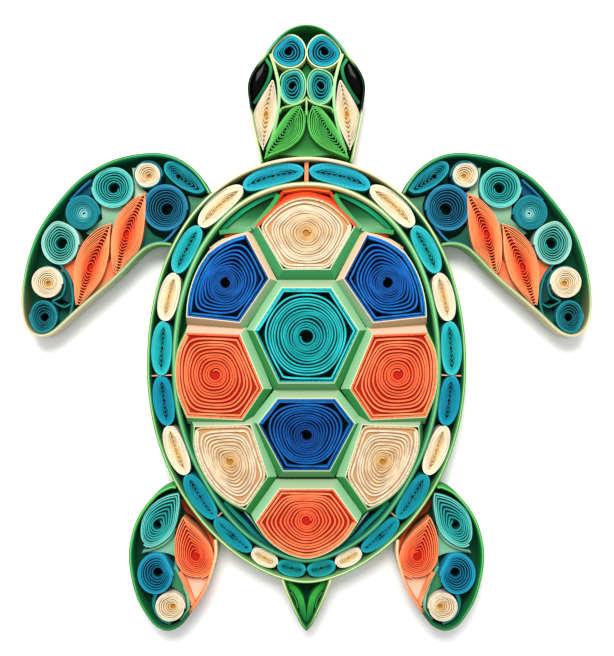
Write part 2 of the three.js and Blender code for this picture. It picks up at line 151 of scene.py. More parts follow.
bpy.ops.object.light_add(type="AREA", location=(-60 * mm, 480 * mm, 620 * mm))
lamp = bpy.context.object
lamp.data.size = 420 * mm
lamp.data.energy = 9
lamp.data.color = (1, 0.985, 0.96)
lamp.rotation_euler = (-lamp.location).to_track_quat("-Z", "Y").to_euler()
surround = bpy.data.worlds.new("surround")
bpy.context.scene.world = surround
surround.use_nodes = True
surround.node_tree.nodes["Background"].inputs["Color"].default_value = (1, 1, 1, 1)
surround.node_tree.nodes["Background"].inputs["Strength"].default_value = 0.75


def area(ring):
    """The area inside a closed outline, below zero if it runs clockwise."""
    x, y = ring[:, 0], ring[:, 1]
    return 0.5 * np.sum(x * np.roll(y, -1) - y * np.roll(x, -1))


def anticlockwise(ring):
    """A closed outline, turned round if it runs clockwise."""
    return ring if area(ring) > 0 else ring[::-1]


def lengths(rows):
    """The length of each row, taken as a vector."""
    return np.linalg.norm(rows, axis=1)


def loops(node, top=True):
    """The outlines of a node's flat top or bottom, largest first, as closed anticlockwise lists."""
    mesh = cad[node].data
    points = np.array([v.co for v in mesh.vertices])
    level = points[:, 2].max() if top else points[:, 2].min()
    facing = 1 if top else -1
    names = [tuple(p) for p in np.round(points[:, :2] / mm, 3)]
    edges = set()
    for face in mesh.polygons:
        corners = list(face.vertices)
        if face.normal.z * facing > 0.5 and all(abs(points[c, 2] - level) < 0.01 * mm for c in corners):
            ring = [names[c] for c in corners][::facing]
            edges.update(zip(ring, ring[1:] + ring[:1]))
    following = {a: b for a, b in edges if (b, a) not in edges and a != b}
    found = []
    while following:
        start = min(following)
        here = following.pop(start)
        ring = [start]
        while here != start and here in following:
            ring.append(here)
            here = following.pop(here)
        ring = np.array(ring) * mm
        found.append(anticlockwise(ring[lengths(ring - np.roll(ring, 1, axis=0)) > 0.02 * mm]))
    return sorted(found, key=area, reverse=True)


def turned(before, after):
    """How far the way after each point is turned from the way before it, in degrees."""
    cross = before[:, 0] * after[:, 1] - before[:, 1] * after[:, 0]
    return np.degrees(np.abs(np.arctan2(cross, np.sum(before * after, axis=1))))


def bend_at(ring):
    """How far a closed outline turns at each point, in degrees."""
    return turned(ring - np.roll(ring, 1, axis=0), np.roll(ring, -1, axis=0) - ring)


def curve_through(points, step):
    """An open smooth curve through the points, sampled about a step apart."""
    ends = np.vstack([2 * points[0] - points[1], points, 2 * points[-1] - points[-2]])
    out = []
    for a, b, c, d in zip(ends, ends[1:], ends[2:], ends[3:]):
        count = max(1, round(float(np.linalg.norm(c - b)) / step))
        knots = np.cumsum([0] + [max(1e-9, float(np.linalg.norm(q - p))) ** 0.5 for p, q in ((a, b), (b, c),
            (c, d))])
        t = np.linspace(knots[1], knots[2], count + 1)[:-1, None]
        k0, k1, k2, k3 = knots
        ab = a + (b - a) * (t - k0) / (k1 - k0)
        bc = b + (c - b) * (t - k1) / (k2 - k1)
        cd = c + (d - c) * (t - k2) / (k3 - k2)
        abc = ab + (bc - ab) * (t - k0) / (k2 - k0)
        bcd = bc + (cd - bc) * (t - k1) / (k3 - k1)
        out.append(abc + (bcd - abc) * (t - k1) / (k2 - k1))
    return np.vstack(out + [points[-1:]])


def smooth(ring, step, sharp=50):
    """A closed outline drawn smoothly through its points, which keeps its sharp corners."""
    corners = np.flatnonzero(bend_at(ring) > sharp)
    if len(corners) == 0:
        dense = curve_through(np.vstack([ring[-2:], ring, ring[:3]]), step)
        first = np.argmin(lengths(dense - ring[0]))
        last = len(dense) - 1 - np.argmin(lengths(dense[::-1] - ring[0]))
        return dense[first:last]
    ring = np.roll(ring, -corners[0], axis=0)
    stops = [*(corners - corners[0]), len(ring)]
    wrapped = np.vstack([ring, ring[:1]])
    return np.vstack([curve_through(wrapped[a:b + 1], step)[:-1] for a, b in zip(stops, stops[1:])])


@contextlib.contextmanager
def editing(select="SELECT", by="VERT"):
    """Opens the mesh of the piece at hand with all or none of it selected, or as it was left."""
    bpy.ops.object.mode_set(mode="EDIT")
    bpy.ops.mesh.select_mode(type=by)
    if select:
        bpy.ops.mesh.select_all(action=select)
    yield
    bpy.ops.object.mode_set(mode="OBJECT")


def lay_ring(points, level, closed=True):
    """A ring of edges, opened if it isn't closed, and laid along the points at a level."""
    bpy.ops.object.select_all(action="DESELECT")
    bpy.ops.mesh.primitive_circle_add(vertices=max(3, len(points)), fill_type="NOTHING")
    piece = bpy.context.object
    if not closed:
        # The edge that closes the ring is taken out.
        with editing("DESELECT", "EDGE"):
            pass
        for edge in piece.data.edges:
            edge.select = set(edge.vertices) == {0, len(points) - 1}
        with editing(None, "EDGE"):
            bpy.ops.mesh.delete(type="EDGE")
    level = np.broadcast_to(level, len(points))
    piece.data.vertices.foreach_set("co", np.column_stack([points, level]).ravel())
    piece.data.update()
    return piece


def drawn_out(place, select="SELECT"):
    """Draws the edges of the piece at hand out to new corners, which go where place says."""
    with editing(select):
        bpy.ops.mesh.extrude_edges_move()
    for vertex in bpy.context.object.data.vertices:
        if vertex.select:
            vertex.co = place(vertex.co)


def face_out():
    """Turns the faces of the mesh at hand outwards."""
    with editing():
        bpy.ops.mesh.normals_make_consistent(inside=False)


def at_hand(piece):
    """Makes a piece the one at hand."""
    bpy.ops.object.select_all(action="DESELECT")
    piece.select_set(True)
    bpy.context.view_layer.objects.active = piece


def finished(name, material, slot, node=None, twin=False):
    """Names the piece at hand, gives it its paper and hides its node's part. slot is not used. A piece of
    the turtle's right side has right in the name of its node or its own, and gets its twin on the left."""
    piece = bpy.context.object
    if material:
        piece.data.materials.clear()
        piece.data.materials.append(material)
    twin = twin or "_right" in f"{name}{node}"
    for side in ("_right", "_left") if twin else ("",):
        if side == "_left":
            at_hand(piece)
            bpy.ops.object.duplicate()
            piece = bpy.context.object
            co = np.empty(3 * len(piece.data.vertices))
            piece.data.vertices.foreach_get("co", co)
            co[0::3] *= -1
            piece.data.vertices.foreach_set("co", co)
            piece.data.flip_normals()
        piece.name = name.replace("_right", "") + side
        piece.data.name = piece.name
        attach(piece, "root")
        if node:
            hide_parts(node.replace("_right", side))


def plate(outline, bottom, top):
    """A flat piece cut from sheet: an outline filled and given its thickness."""
    lay_ring(outline, bottom)
    with editing():
        bpy.ops.mesh.edge_face_add()
        bpy.ops.mesh.extrude_region_move(TRANSFORM_OT_translate={"value": (0, 0, top - bottom)})
    face_out()


card_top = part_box("backing_card")[1].z
plate(smooth(loops("backing_card", top=False)[0], step=1 * mm), 0, card_top)
finished("card", paper("dyed_green_card", ["#0c4a30", "#0f5a3c"], span=(-0.09, 0.09)), "card_green",
    "backing_card")


# ---- Shell rims ----
# Two ovals of strip laminated in plies and glued on edge, one round the shell and one round the
# scutes. Their dye fades from cream at the head to green at the sides and lime at the tail.
strip_paper = 0.3 * mm
rim_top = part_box("shell_outer_rim")[1].z
rim_wall = 0.9 * mm
border_width = 8.2 * mm


def mitres(ring):
    """The way each point of a closed outline moves when the outline grows by one."""
    before = ring - np.roll(ring, 1, axis=0)
    after = np.roll(before, -1, axis=0)
    before = before / lengths(before)[:, None]
    after = after / lengths(after)[:, None]
    out = np.column_stack([before[:, 1] + after[:, 1], -before[:, 0] - after[:, 0]])
    return out / np.maximum(0.35, 1 + np.sum(before * after, axis=1))[:, None]


def moved(ring, distance):
    """A closed outline grown by a distance, or by one for each point, mitred at its corners."""
    return ring + mitres(ring) * np.reshape(distance, (-1, 1))


def travelled(path):
    """How far along a path each of its points lies."""
    return np.concatenate([[0], np.cumsum(lengths(np.diff(path, axis=0)))])


def strip(path, top, thickness, closed=False):
    """A strip of paper stood on edge on the card along a path. Its attribute runs from 0 to 1 along
    it."""
    piece = lay_ring(path, top, closed)
    along = travelled(path)
    wound = piece.data.attributes.new("wound", "FLOAT", "POINT")
    wound.data.foreach_set("value", along / along[-1])
    drawn_out(lambda at: (at.x, at.y, card_top))
    wall = piece.modifiers.new("paper", "SOLIDIFY")
    wall.thickness = thickness
    wall.offset = 0
    bpy.ops.object.modifier_apply(modifier=wall.name)
    face_out()


def laminated(name, plies, slot, node, lows, line, thickness=strip_paper, closed=False):
    """A rim's plies from its outer face inwards. line gives the way of a ply from its depth in the
    rim, and lows says how far each ply's edge lies below the rim's top, in millimetres."""
    for number, (ply, low) in enumerate(zip(plies, lows)):
        strip(line(thickness * (number + 0.5)), rim_top - low * mm, thickness, closed)
        finished(f"{name}_ply_{number + 1}", ply, slot, node)


shell_edge = smooth(loops("shell_outer_rim")[0], step=1 * mm)
head_to_tail = (shell_edge[:, 1].min(), shell_edge[:, 1].max())


def shell_plies(dyes):
    """A ply's paper for each dye, which changes from the tail to the head."""
    return [paper(f"{name}_strip", stops, span=head_to_tail) for name, stops in dyes.items()]


outer_dyes = {
    "leaf_green": {0: "#3f9a4a", 0.6: "#2d8f3f", 0.9: "#a9b97a", 1: "#e8d6a8"},
    "lime": {0: "#e9e3ae", 0.12: "#d9dda6", 0.3: "#9ccf78", 0.7: "#9ccf78", 0.85: "#e3e3b0",
        0.95: "#f8e8c8", 1: "#fdeccf"},
    "deep_green": {0: "#6da566", 0.5: "#14733f", 0.9: "#3f8a50", 1: "#e0b98a"},
}
outer_lows = (0.12, 0, 0.12)
laminated("shell_outer_rim", shell_plies(outer_dyes), "paper_rim_green", "shell_outer_rim", outer_lows,
    lambda depth: moved(shell_edge, -depth), closed=True)

inner_dyes = {
    "deep_green_inner": {0: "#1a6a50", 0.8: "#1c7a45", 1: "#8aa86a"},
    "grass_green": {0: "#3f8f5c", 0.5: "#5faa66", 0.85: "#86bd7e", 0.95: "#f4e2c0", 1: "#fbe8cc"},
    "mid_green": {0: "#57a070", 0.5: "#86c07e", 0.8: "#a5cd92", 0.93: "#f6e0bc", 1: "#fbe3c4"},
    "sea_green": {0: "#0f6a54", 0.2: "#2f7f5a", 0.5: "#4c9a5c", 0.85: "#6aa86a", 1: "#e8a878"},
    "moss_green": {0: "#0a5a50", 0.22: "#14604c", 0.5: "#3a8a50", 0.85: "#3f9a5c", 1: "#c85a28"},
}
# The border grows narrower round the tail's end of the shell.
tail_end = np.clip((-shell_edge[:, 1] - 48 * mm) / (22 * mm), 0, 1)
tail_narrowing = 1.3 * mm
border = border_width - tail_narrowing * tail_end ** 2 * (3 - 2 * tail_end)
inner_rim_face = -border + rim_wall / 2 + strip_paper
inner_lows = (0.12, 0, 0, 0.1, 0.25)
laminated("shell_inner_rim", shell_plies(inner_dyes), "paper_collar_green", "scute_frame", inner_lows,
    lambda depth: moved(shell_edge, inner_rim_face - depth), closed=True)


# ---- Scutes ----
# Each scute is one long strip wound in round turns from the eye, let go a little and pressed into
# its cell, where the last turn lies along the sides and leaves deep pockets in the corners. The
# cream ones' corners are worn round. A flat plate in a darker shade of the coil's paper lies a
# little below its top and shows between the turns: painted shade in the gaps.
cells = {
    "scute_crown": [[(13.6, 31.0), (11.1, 33.4), (9.0, 35.5), (6.3, 37.4)], [(3.1, 38.6), (0, 39.0),
        (-3.1, 38.6)], [(-6.3, 37.4), (-9.0, 35.5), (-11.1, 33.4), (-13.6, 31.0)], [(-14.2, 30.2)],
        [(-6.9, 17.6)], [(6.9, 17.6)], [(14.2, 30.2)]],
    "scute_tail": [[(15.0, -58.2)], [(8.0, -48.4)], [(-8.0, -48.4)], [(-15.0, -58.2), (-11.8, -62.8),
        (-8.0, -66.0), (-4.2, -67.9), (0, -68.8), (4.2, -67.9), (8.0, -66.0), (11.8, -62.8)]],
    "scute_shoulder_right": [[(18.2, 27.7)], [(11.3, 14.6)], [(20.1, 1.7)], [(35.6, 3.4), (35.5, 5.8),
        (34.9, 9.9), (33.5, 14.6), (31.7, 18.5)], [(29.4, 22.0), (26.1, 24.5), (22.4, 26.4)]],
    "scute_flank_right": [[(35.9, -1.7)], [(19.9, -2.3)], [(13.2, -18.3)], [(19.3, -27.4)], [(35.6, -26.6),
        (38.2, -20.0), (39.0, -13.3), (38.3, -7.0)]],
    "scute_hip_right": [[(33.4, -29.8)], [(16.8, -29.2)], [(11.8, -44.6)], [(18.4, -54.1), (22.1, -52.4),
        (27.2, -48.4), (30.9, -42.8), (33.4, -35.9)]],
}


def cell(node, step=0.8 * mm):
    """A scute's outline, anticlockwise, where each of its sides starts, and the way each faces in
    degrees: 90 is towards the head. cells gives the sides that aren't straight, each without its end."""
    if node in cells:
        runs = [np.array(side) * mm for side in cells[node]]
        runs = [np.vstack([side, following[:1]]) for side, following in zip(runs, runs[1:] + runs[:1])]
    else:
        ring = loops(node)[0]
        first = np.flatnonzero(bend_at(ring) > 25)
        ring = np.roll(ring, -first[0], axis=0)
        stops = [*(first - first[0]), len(ring)]
        ring = np.vstack([ring, ring[:1]])
        runs = [ring[a:b + 1] for a, b in zip(stops, stops[1:])]
    sides, starts, facing = [], [0], []
    for run in runs:
        side = curve_through(run, step)
        along = side[-1] - side[0]
        sides.append(side[:-1])
        starts.append(starts[-1] + len(side) - 1)
        facing.append(math.degrees(math.atan2(-along[0], along[1])))
    return np.vstack(sides), starts, facing


def worn(line, length, closed=True):
    """A line with its corners worn round over a length. An open one keeps its ends."""
    step = lengths(np.roll(line, -1, axis=0) - line if closed else np.diff(line, axis=0)).mean()
    half = round(3 * length / step)
    weights = np.exp(-0.5 * (np.arange(-half, half + 1) * step / length) ** 2)
    if closed:
        longer = np.vstack([line[-half:], line, line[:half]])
    else:
        longer = np.vstack([2 * line[0] - line[half:0:-1], line, 2 * line[-1] - line[-2:-half - 2:-1]])
    return np.column_stack([np.convolve(longer[:, axis], weights / weights.sum(), mode="valid")
        for axis in (0, 1)])


def winding(wall, eye, eye_radius, turns, tight, pitch, rounding=0, power=1.0, lean=(0, 0), pointed=False,
            bunch=0.0, wobble=0.05):
    """The strip's way from the eye: loose round turns first, and tight ones along the wall at last."""
    count = len(wall)
    step = np.arange(round((turns + tight) * count) + 1)
    turn = step / count
    k = step % count
    depth = np.clip(turns + tight - turn, 0, tight) * pitch
    if pointed:
        shortest = lengths(wall - eye).min()
        last = eye + (wall - eye)[k] * (1 - depth / shortest)[:, None]
        core = eye + (wall - eye) * (1 - tight * pitch / shortest)
    else:
        last = wall[k] - mitres(wall)[k] * depth[:, None]
        core = wall - mitres(wall) * tight * pitch
    if rounding:
        core = worn(core, rounding * mm)
    far = lengths(core - eye)
    ways = (core - eye) / far[:, None]
    near = far.min()
    share = np.clip(turn / turns, 0, 1)
    share = share + bunch / (6 * math.pi) * np.sin(6 * math.pi * share)
    radius = eye_radius + (near - eye_radius) * share + (far[k] - near) * share ** power
    swell = np.sin(math.pi * share)
    angle = np.arctan2(ways[k, 1], ways[k, 0])
    radius = radius + wobble * mm * np.sin(3 * angle + 11 * share) * swell
    loose = eye + ways[k] * radius[:, None] + swell[:, None] ** 2 * np.array(lean) * mm
    join = np.clip((turn - turns) / 0.3, 0, 1)[:, None]
    join = join * join * (3 - 2 * join) if rounding else (turn >= turns)[:, None]
    return loose * (1 - join) + last * join, core


def ring_plate(outline, eye, radius, top):
    """A flat piece on the card, with a round hole at the eye."""
    def to_hole(at):
        gap = np.array(at[:2]) - eye
        return (*(eye + gap * radius / np.linalg.norm(gap)), at.z)

    lay_ring(outline, top)
    drawn_out(to_hole)
    with editing():
        bpy.ops.mesh.extrude_region_move(TRANSFORM_OT_translate={"value": (0, 0, card_top - top)})
    face_out()


def slipped(path, top, slip):
    """The level of a strip's upper edge, which slips down a little here and there along the winding."""
    along = travelled(path) / (11 * mm)
    return top - slip * (0.5 + 0.25 * np.sin(along) + 0.25 * np.sin(2.6 * along + 1))


plug_drop = 0.7 * mm
lining_drop = 0.05 * mm
lining_gap = 0.04 * mm


def make_coil(node, path, bed, eye, eye_radius, made_of, thickness, deep_by, slip):
    """A coil's strip, a flat plate a little below its top in a darker paper, which is painted shade in
    the gaps between the turns, and the plug in its eye where it has one, also darker: painted shade in the
    eye.
    """
    dye, deep, plug, slot = made_of
    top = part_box(node)[1].z
    strip(path, slipped(path, top, slip * mm), thickness * mm)
    finished(f"{node}_strip", dye, slot, node)
    # A plate in a darker shade of the coil's paper: painted shade between the turns.
    ring_plate(bed, eye, eye_radius, top - deep_by * mm)
    finished(f"{node}_deep_strip", deep, slot, node)
    # The plug's paper is darker than its coil's: painted shade in the eye.
    if plug:
        around = np.linspace(0, 2 * math.pi, 24, endpoint=False)
        rim = eye + eye_radius * np.column_stack([np.cos(around), np.sin(around)])
        plate(rim, card_top, top - plug_drop)
        finished(f"{node}_eye_plug", plug, slot, node)


def coil(node, outline, eye, eye_radius, turns, tight, made_of, thickness, spacing=0.05,
         deep_by=1.0, slip=0.2, lining=None, **shape):
    """A coil wound to fill an outline, inside a closed turn of its own where it has a lining. All but
    the outline is in millimetres."""
    plug, slot = made_of[2:]
    eye = np.array(eye) * mm
    wall = moved(outline, -thickness * mm / 2)
    if lining:
        closed = np.vstack([wall, wall[:1]])
        strip(closed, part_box(node)[1].z - lining_drop, thickness * mm)
        finished(f"{node}_last_turn", lining, slot, node)
        wall = moved(wall, -thickness * mm - lining_gap)
    pitch = thickness * mm + spacing * mm
    path, bed = winding(wall, eye, eye_radius * mm, turns, tight, pitch, **shape)
    if plug and lining:
        bed = moved(wall, thickness * mm / 2 + lining_gap)
    make_coil(node, path, bed, eye, eye_radius * mm, made_of, thickness, deep_by, slip)


def plain(name, colour):
    """Paper in one dye."""
    return paper(name, [colour, colour], span=(0, 1))


# Each plate is a darker shade of its coil's paper, painted shade for the gaps between the turns; the plugs
# in the eyes are darker too, painted shade in the eye.
gap_shade_papers = {
    "cream": plain("tan_deep_paper", "#c29260"), "coral": plain("red_deep_paper", "#a81a08"),
    "blue": plain("navy_deep_paper", "#04204c"), "teal": plain("dark_teal_deep_paper", "#044a4c"),
    "pool": plain("pool_deep_paper", "#0a565e"),
    "green": plain("bottle_green_deep_paper", "#06200c"), "sea": plain("ink_deep_paper", "#02222e"),
    "gold": plain("gold_deep_paper", "#cca468")}
gold_plug = plain("gold_plug_paper", "#b07a34")
eye_shade_plugs = {"cream": gold_plug, "gold": gold_plug, "coral": plain("red_plug_paper", "#b41a0a")}


def look(name, deep, slot, stops, streaks=24):
    """What a coil is made of: its own paper, the darker paper of its plate, painted shade between its
    turns, its plug's where it has one, also painted shade, its slot.
    """
    return paper(f"{name}_paper", stops, streaks=streaks), gap_shade_papers[deep], eye_shade_plugs.get(deep), slot


shoulder_blue = look("royal_blue_quilling", "blue", "paper_royal_blue", ["#0a4486", "#0b58a8", "#1672c0"],
    90)
saddle_blue = look("deep_blue_quilling", "blue", "paper_royal_blue", ["#083a7c", "#0a4f98", "#1266b0"], 90)
scute_coral = look("coral_quilling", "coral", "paper_coral", {0: "#ee5832", 0.4: "#f56e42", 0.8: "#fb8050",
    1: "#fd925e"}, 90)
scute_teal = look("teal_quilling", "teal", "paper_teal", ["#0e9296", "#1ca8aa", "#31c3c7"], 90)
scute_cream = look("cream_quilling", "cream", "paper_cream", {0: "#c89c62", 0.12: "#d4b48c", 0.5: "#dac2a0",
    1: "#e2ceb4"}, 90)
blue_gap = dict(deep_by=2.2, thickness=0.48)
cream_gap = dict(deep_by=0.5, thickness=0.56)
coral_gap = dict(deep_by=0.7, thickness=0.5)
cream_corners = 1.6 * mm
# A scute's eye and the eye's radius in millimetres, its loose and its tight turns, what it is made
# of, and its shape.
scutes = [
    ("scute_crown", (0, 28.35), 1.1, 12, 1.0, scute_cream, dict(cream_gap, rounding=3.6, power=1.5,
     bunch=0.2)),
    ("scute_centre", (0, -2.85), 1.8, 13, 1.0, scute_teal, dict(blue_gap, rounding=5.0, power=5,
     lean=(0.3, 0.5), bunch=0.25, wobble=0.12)),
    ("scute_saddle", (0, -32.4), 1.5, 11, 1.0, saddle_blue, dict(blue_gap, rounding=4.6, power=2.5,
     lean=(-0.2, 0.3), bunch=0.15, wobble=0.1)),
    ("scute_tail", (0, -57.6), 1.3, 10, 1.0, scute_coral, dict(coral_gap, rounding=2.6, power=1.7,
     bunch=0.2)),
    ("scute_shoulder_right", (24.15, 13.35), 1.5, 11, 1.0, shoulder_blue, dict(blue_gap, rounding=4.2,
     power=2.8, bunch=0.12, wobble=0.14)),
    ("scute_flank_right", (27.15, -14.1), 1.3, 11, 1.0, scute_coral, dict(coral_gap, rounding=3.2,
     power=2.6, lean=(0.3, 0), bunch=0.25)),
    ("scute_hip_right", (22.8, -40.05), 1.0, 10, 1.0, scute_cream, dict(cream_gap, rounding=3.6, power=1.4,
     lean=(0.2, -0.3), bunch=0.2)),
]
for node, *winding_up, made_of, shape in scutes:
    outline = cell(node)[0]
    if made_of is scute_cream:
        outline = worn(outline, cream_corners)
    coil(node, outline, *winding_up, made_of, spacing=0.06, lining=made_of[0], **shape)


# ---- Collars ----
# Each scute sits in a collar folded from green strip, which slopes down from a lip by the coil to a
# valley that it shares with the next one. Its sides are mitred. A few sides are in tints of their
# own; the green ones are painted paler where they face the lamp beyond the head and darker where
# they face away from it, as painted light and shade. Every side is palest at the lip, a painted
# highlight, and darker down to the valley, painted shade.
# In millimetres, as the narrower widths below.
collar_width = 2.55
collar_lip = 0.28 * mm
collar_gap = 0.04 * mm
valley_level = card_top + 5 * mm
scute_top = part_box("scute_centre")[1].z
# Each tint gives its lip, the top of its slope and its valley: the lip palest, a painted highlight, and the
# valley darkest, painted shade.
collar_painted_light_tints = {
    "pale_mint": ("#c8d4b0", "#9cb28c", "#84a67c"), "light_green": ("#cfe0b4", "#90c294", "#84bc8a"),
    "mid_green": ("#b5c89a", "#6aa868", "#5f9f66"), "deep_green": ("#a8c890", "#3f9450", "#2f8a44"),
    "spring_green": ("#c8d8a8", "#48a468", "#3c9a5c"), "coral": ("#f4683d", "#e84a20", "#c83010"),
    "peach": ("#fbd0b4", "#f2c0a0", "#d8c8a0"), "tan": ("#e8cfa8", "#c0a880", "#a89870"),
    "sage": ("#dccba4", "#a0b890", "#78b080"), "blush": ("#f6a888", "#e8b098", "#d0b496")}
collar_papers = {name: paper(f"{name}_collar_paper", {0: lip, 0.25: lip, 0.32: upper, 1: lower},
    attribute="slope") for name, (lip, upper, lower) in collar_painted_light_tints.items()}


def collar_side(angle):
    """The paper of a collar's side, by the way it slopes: 90 is towards the head. Sides that face the
    lamp beyond the head get the palest green and those that face away darker ones: painted light and shade.
    """
    turn = abs((angle - 90 + 180) % 360 - 180)
    if turn < 20:
        return "pale_mint"
    if turn < 80:
        return "light_green"
    return "mid_green" if turn > 160 else "deep_green"


def widened(ring, starts, widths):
    """An outline with each side moved outwards by its own width, and mitred with the next."""
    count = len(ring)
    out = np.empty_like(ring)
    normals = []
    for a, b in zip(starts, starts[1:]):
        side = ring[np.arange(a, b + 1) % count]
        along = np.gradient(side, axis=0)
        along = along / lengths(along)[:, None]
        normals.append(np.column_stack([along[:, 1], -along[:, 0]]))
    for number, (a, b) in enumerate(zip(starts, starts[1:])):
        out[a:b] = ring[a:b] + normals[number][:-1] * widths[number]
        before = normals[number - 1][-1], widths[number - 1]
        after = normals[number][0], widths[number]
        out[a] = ring[a] + np.linalg.solve([before[0], after[0]], [before[1], after[1]])
    return out


def collar(node, special=None, narrow=None):
    """A collar round a scute. special and narrow give a side's paper and its width in millimetres, by
    the way it faces."""
    ring, starts, facing = cell(node, step=1.5 * mm)
    count = len(ring)

    def pick(table, side, usual):
        found = [value for way, value in (table or {}).items() if abs((facing[side] - way + 180) % 360
            - 180) < 16]
        return found[0] if found else usual

    sides = range(len(facing))
    widths = [pick(narrow, side, collar_width) * mm for side in sides]
    inside = widened(ring, starts, [collar_gap] * len(widths))
    lip = widened(ring, starts, [collar_gap + collar_lip] * len(widths))
    valley = widened(ring, starts, widths)
    sections = [(inside, card_top, 0), (inside, scute_top - 0.1 * mm, 0), (lip, scute_top - 0.1 * mm, 0.28),
        (valley, valley_level, 1), (valley, card_top, 1)]
    points = np.vstack([np.column_stack([outline, np.full(count, z)]) for outline, z, slope in sections])
    faces, papers = [], []
    for side, (first, last) in enumerate(zip(starts, starts[1:])):
        used = pick(special, side, collar_side(facing[side]))
        for k in range(first, last):
            for level in range(len(sections)):
                above = (level + 1) % len(sections)
                faces.append([level * count + k, above * count + k, above * count + (k + 1) % count,
                    level * count + (k + 1) % count])
                papers.append(used)
    mesh = bpy.data.meshes.new(node)
    mesh.from_pydata(points.tolist(), [], faces)
    slope = mesh.attributes.new("slope", "FLOAT", "POINT")
    slope.data.foreach_set("value", np.repeat([share for outline, z, share in sections],
        count).astype(float))
    names = sorted(set(papers))
    for name in names:
        mesh.materials.append(collar_papers[name])
    mesh.polygons.foreach_set("material_index", [names.index(p) for p in papers])
    piece = bpy.data.objects.new(node, mesh)
    bpy.context.collection.objects.link(piece)
    at_hand(piece)
    face_out()
    finished(f"{node}_collar", None, "paper_collar_green", "scute_frame")


crown_sides = {90: "coral", 135: "coral", 45: "coral", 210: "spring_green", 270: "spring_green",
    330: "spring_green"}
collar("scute_crown", crown_sides, {135: 2.1, 45: 2.1, 90: 2.6, 210: 3, 330: 3, 270: 3})
collar("scute_centre", narrow={90: 2.7})
collar("scute_saddle")
collar("scute_tail", narrow={270: 0.5})
collar("scute_shoulder_right", {63: "peach", 152: "peach", 214: "sage", 276: "tan"}, {152: 2, 63: 1.6,
    18: 0.6})
collar("scute_flank_right", {92: "blush"}, {0: 1.1})
collar("scute_hip_right", narrow={327: 1.6})


# ---- Folds beside the crown ----
# A leaf folded from green strip fills the corner between the crown, the shoulder and the rim, with
# a thin coral strip along the crown. The scrap under it is painted darker towards the rim, almost
# black there: painted shadow. A wider coral strip and a dark one bend over the crown.
def within(points, outline):
    """Which points lie inside an outline."""
    a, b = outline, np.roll(outline, -1, axis=0)
    rises = (a[:, 1] > points[:, 1:]) != (b[:, 1] > points[:, 1:])
    height = np.where(a[:, 1] == b[:, 1], 1, b[:, 1] - a[:, 1])
    cross = a[:, 0] + (points[:, 1:] - a[:, 1]) * (b[:, 0] - a[:, 0]) / height
    return (rises & (points[:, :1] < cross)).sum(axis=1) % 2 == 1


def held(points, limb):
    """Points of a scrap, those outside a limb's rim or under the shell's moved to the rim's face."""
    if limb is not None:
        for outline, wanted in ((limb, True), (moved(shell_edge, 0.2 * mm), False)):
            stray = np.flatnonzero(within(points, outline) != wanted)
            for k in stray:
                points[k] = outline[np.argmin(lengths(outline - points[k]))]
    return points[lengths(points - np.roll(points, 1, axis=0)) > 0.05 * mm]


def bent(name, points, dye, slot, thickness, top=7.2, twin=True, limb=None):
    """A strip stood on edge and bent smoothly through points. All is in millimetres."""
    strip(held(curve_through(np.array(points) * mm, step=0.6 * mm), limb), top * mm, thickness * mm)
    finished(name, dye, slot, twin=twin)


def filler(name, points, dye, slot, level, twin=True, limb=None):
    """A scrap of strip laid flat between coils, through points, and propped at a level."""
    ring = smooth(anticlockwise(np.array(points) * mm), step=0.8 * mm, sharp=35)
    plate(held(ring, limb), card_top, level * mm)
    finished(name, dye, slot, twin=twin)


fold_green = paper("fold_green_paper", ["#2a9448", "#449a58", "#68a878"])
fold_foot = paper("fold_foot_paper", ["#72ae80", "#4c9a5e", "#2f8a4c"])
# Darker towards the rim, nearly black: painted shadow inside the fold.
shadow_painted_fold_back = paper("fold_back_paper", {0: "#6ea476", 0.35: "#1c6a38", 0.7: "#083214", 1: "#082a10"},
    span=(0.030, 0.0395))
fold_face = paper("fold_face_paper", ["#0a6a3c", "#0f9a68", "#0c7a4c"])
coral_strip = paper("coral_strip_paper", ["#c83010", "#b82408", "#b02408"])
filler("crown_corner_fold_back", [(8.2, 40.2), (10.4, 40.3), (14.1, 38.9), (18.8, 36.2), (22.4, 33.3),
    (26.2, 29.6), (16.8, 29.0), (12.2, 34.4)], shadow_painted_fold_back, "paper_collar_green", 6.1)
bent("crown_corner_fold_face", [(8.6, 40.1), (10.6, 39.8), (14.0, 38.3), (18.4, 35.7), (21.9, 32.9),
    (25.4, 29.6)], fold_face, "paper_collar_green", 1.3, 6.9)
bent("crown_corner_fold_edge", [(8.4, 39.9), (9.6, 37.7), (12.2, 34.4), (14.8, 31.4), (16.4, 29.8)],
    fold_green, "paper_collar_green", 1.3, 8.0)
bent("crown_corner_fold_foot", [(16.6, 29.7), (19.2, 29.2), (22.4, 29.0), (26.2, 28.6)], fold_foot,
    "paper_collar_green", 1.3, 7.7)
bent("crown_coral_strip", [(7.1, 40.7), (8.6, 38.1), (11.0, 35.0), (13.8, 31.8), (15.4, 29.8)], coral_strip,
    "paper_coral", 1.0, 7.6)
bent("shoulder_coral_strip", [(17.2, 28.7), (20.4, 28.5), (24.6, 27.4)], coral_strip, "paper_coral", 0.35,
    7.5)
coral_band = paper("coral_band_paper", ["#d85a1c", "#e2641e", "#d85a1c"])
bent("crown_coral_band", [(-7.2, 41.1), (0, 42.0), (7.2, 41.1)], coral_band, "paper_coral", 1.3, 7.6,
    twin=False)
bent("crown_coral_line", [(-7.2, 40.2), (0, 41.1), (7.2, 40.2)], plain("dark_coral_paper", "#a01a04"),
    "paper_coral", 0.4, 7.4, twin=False)


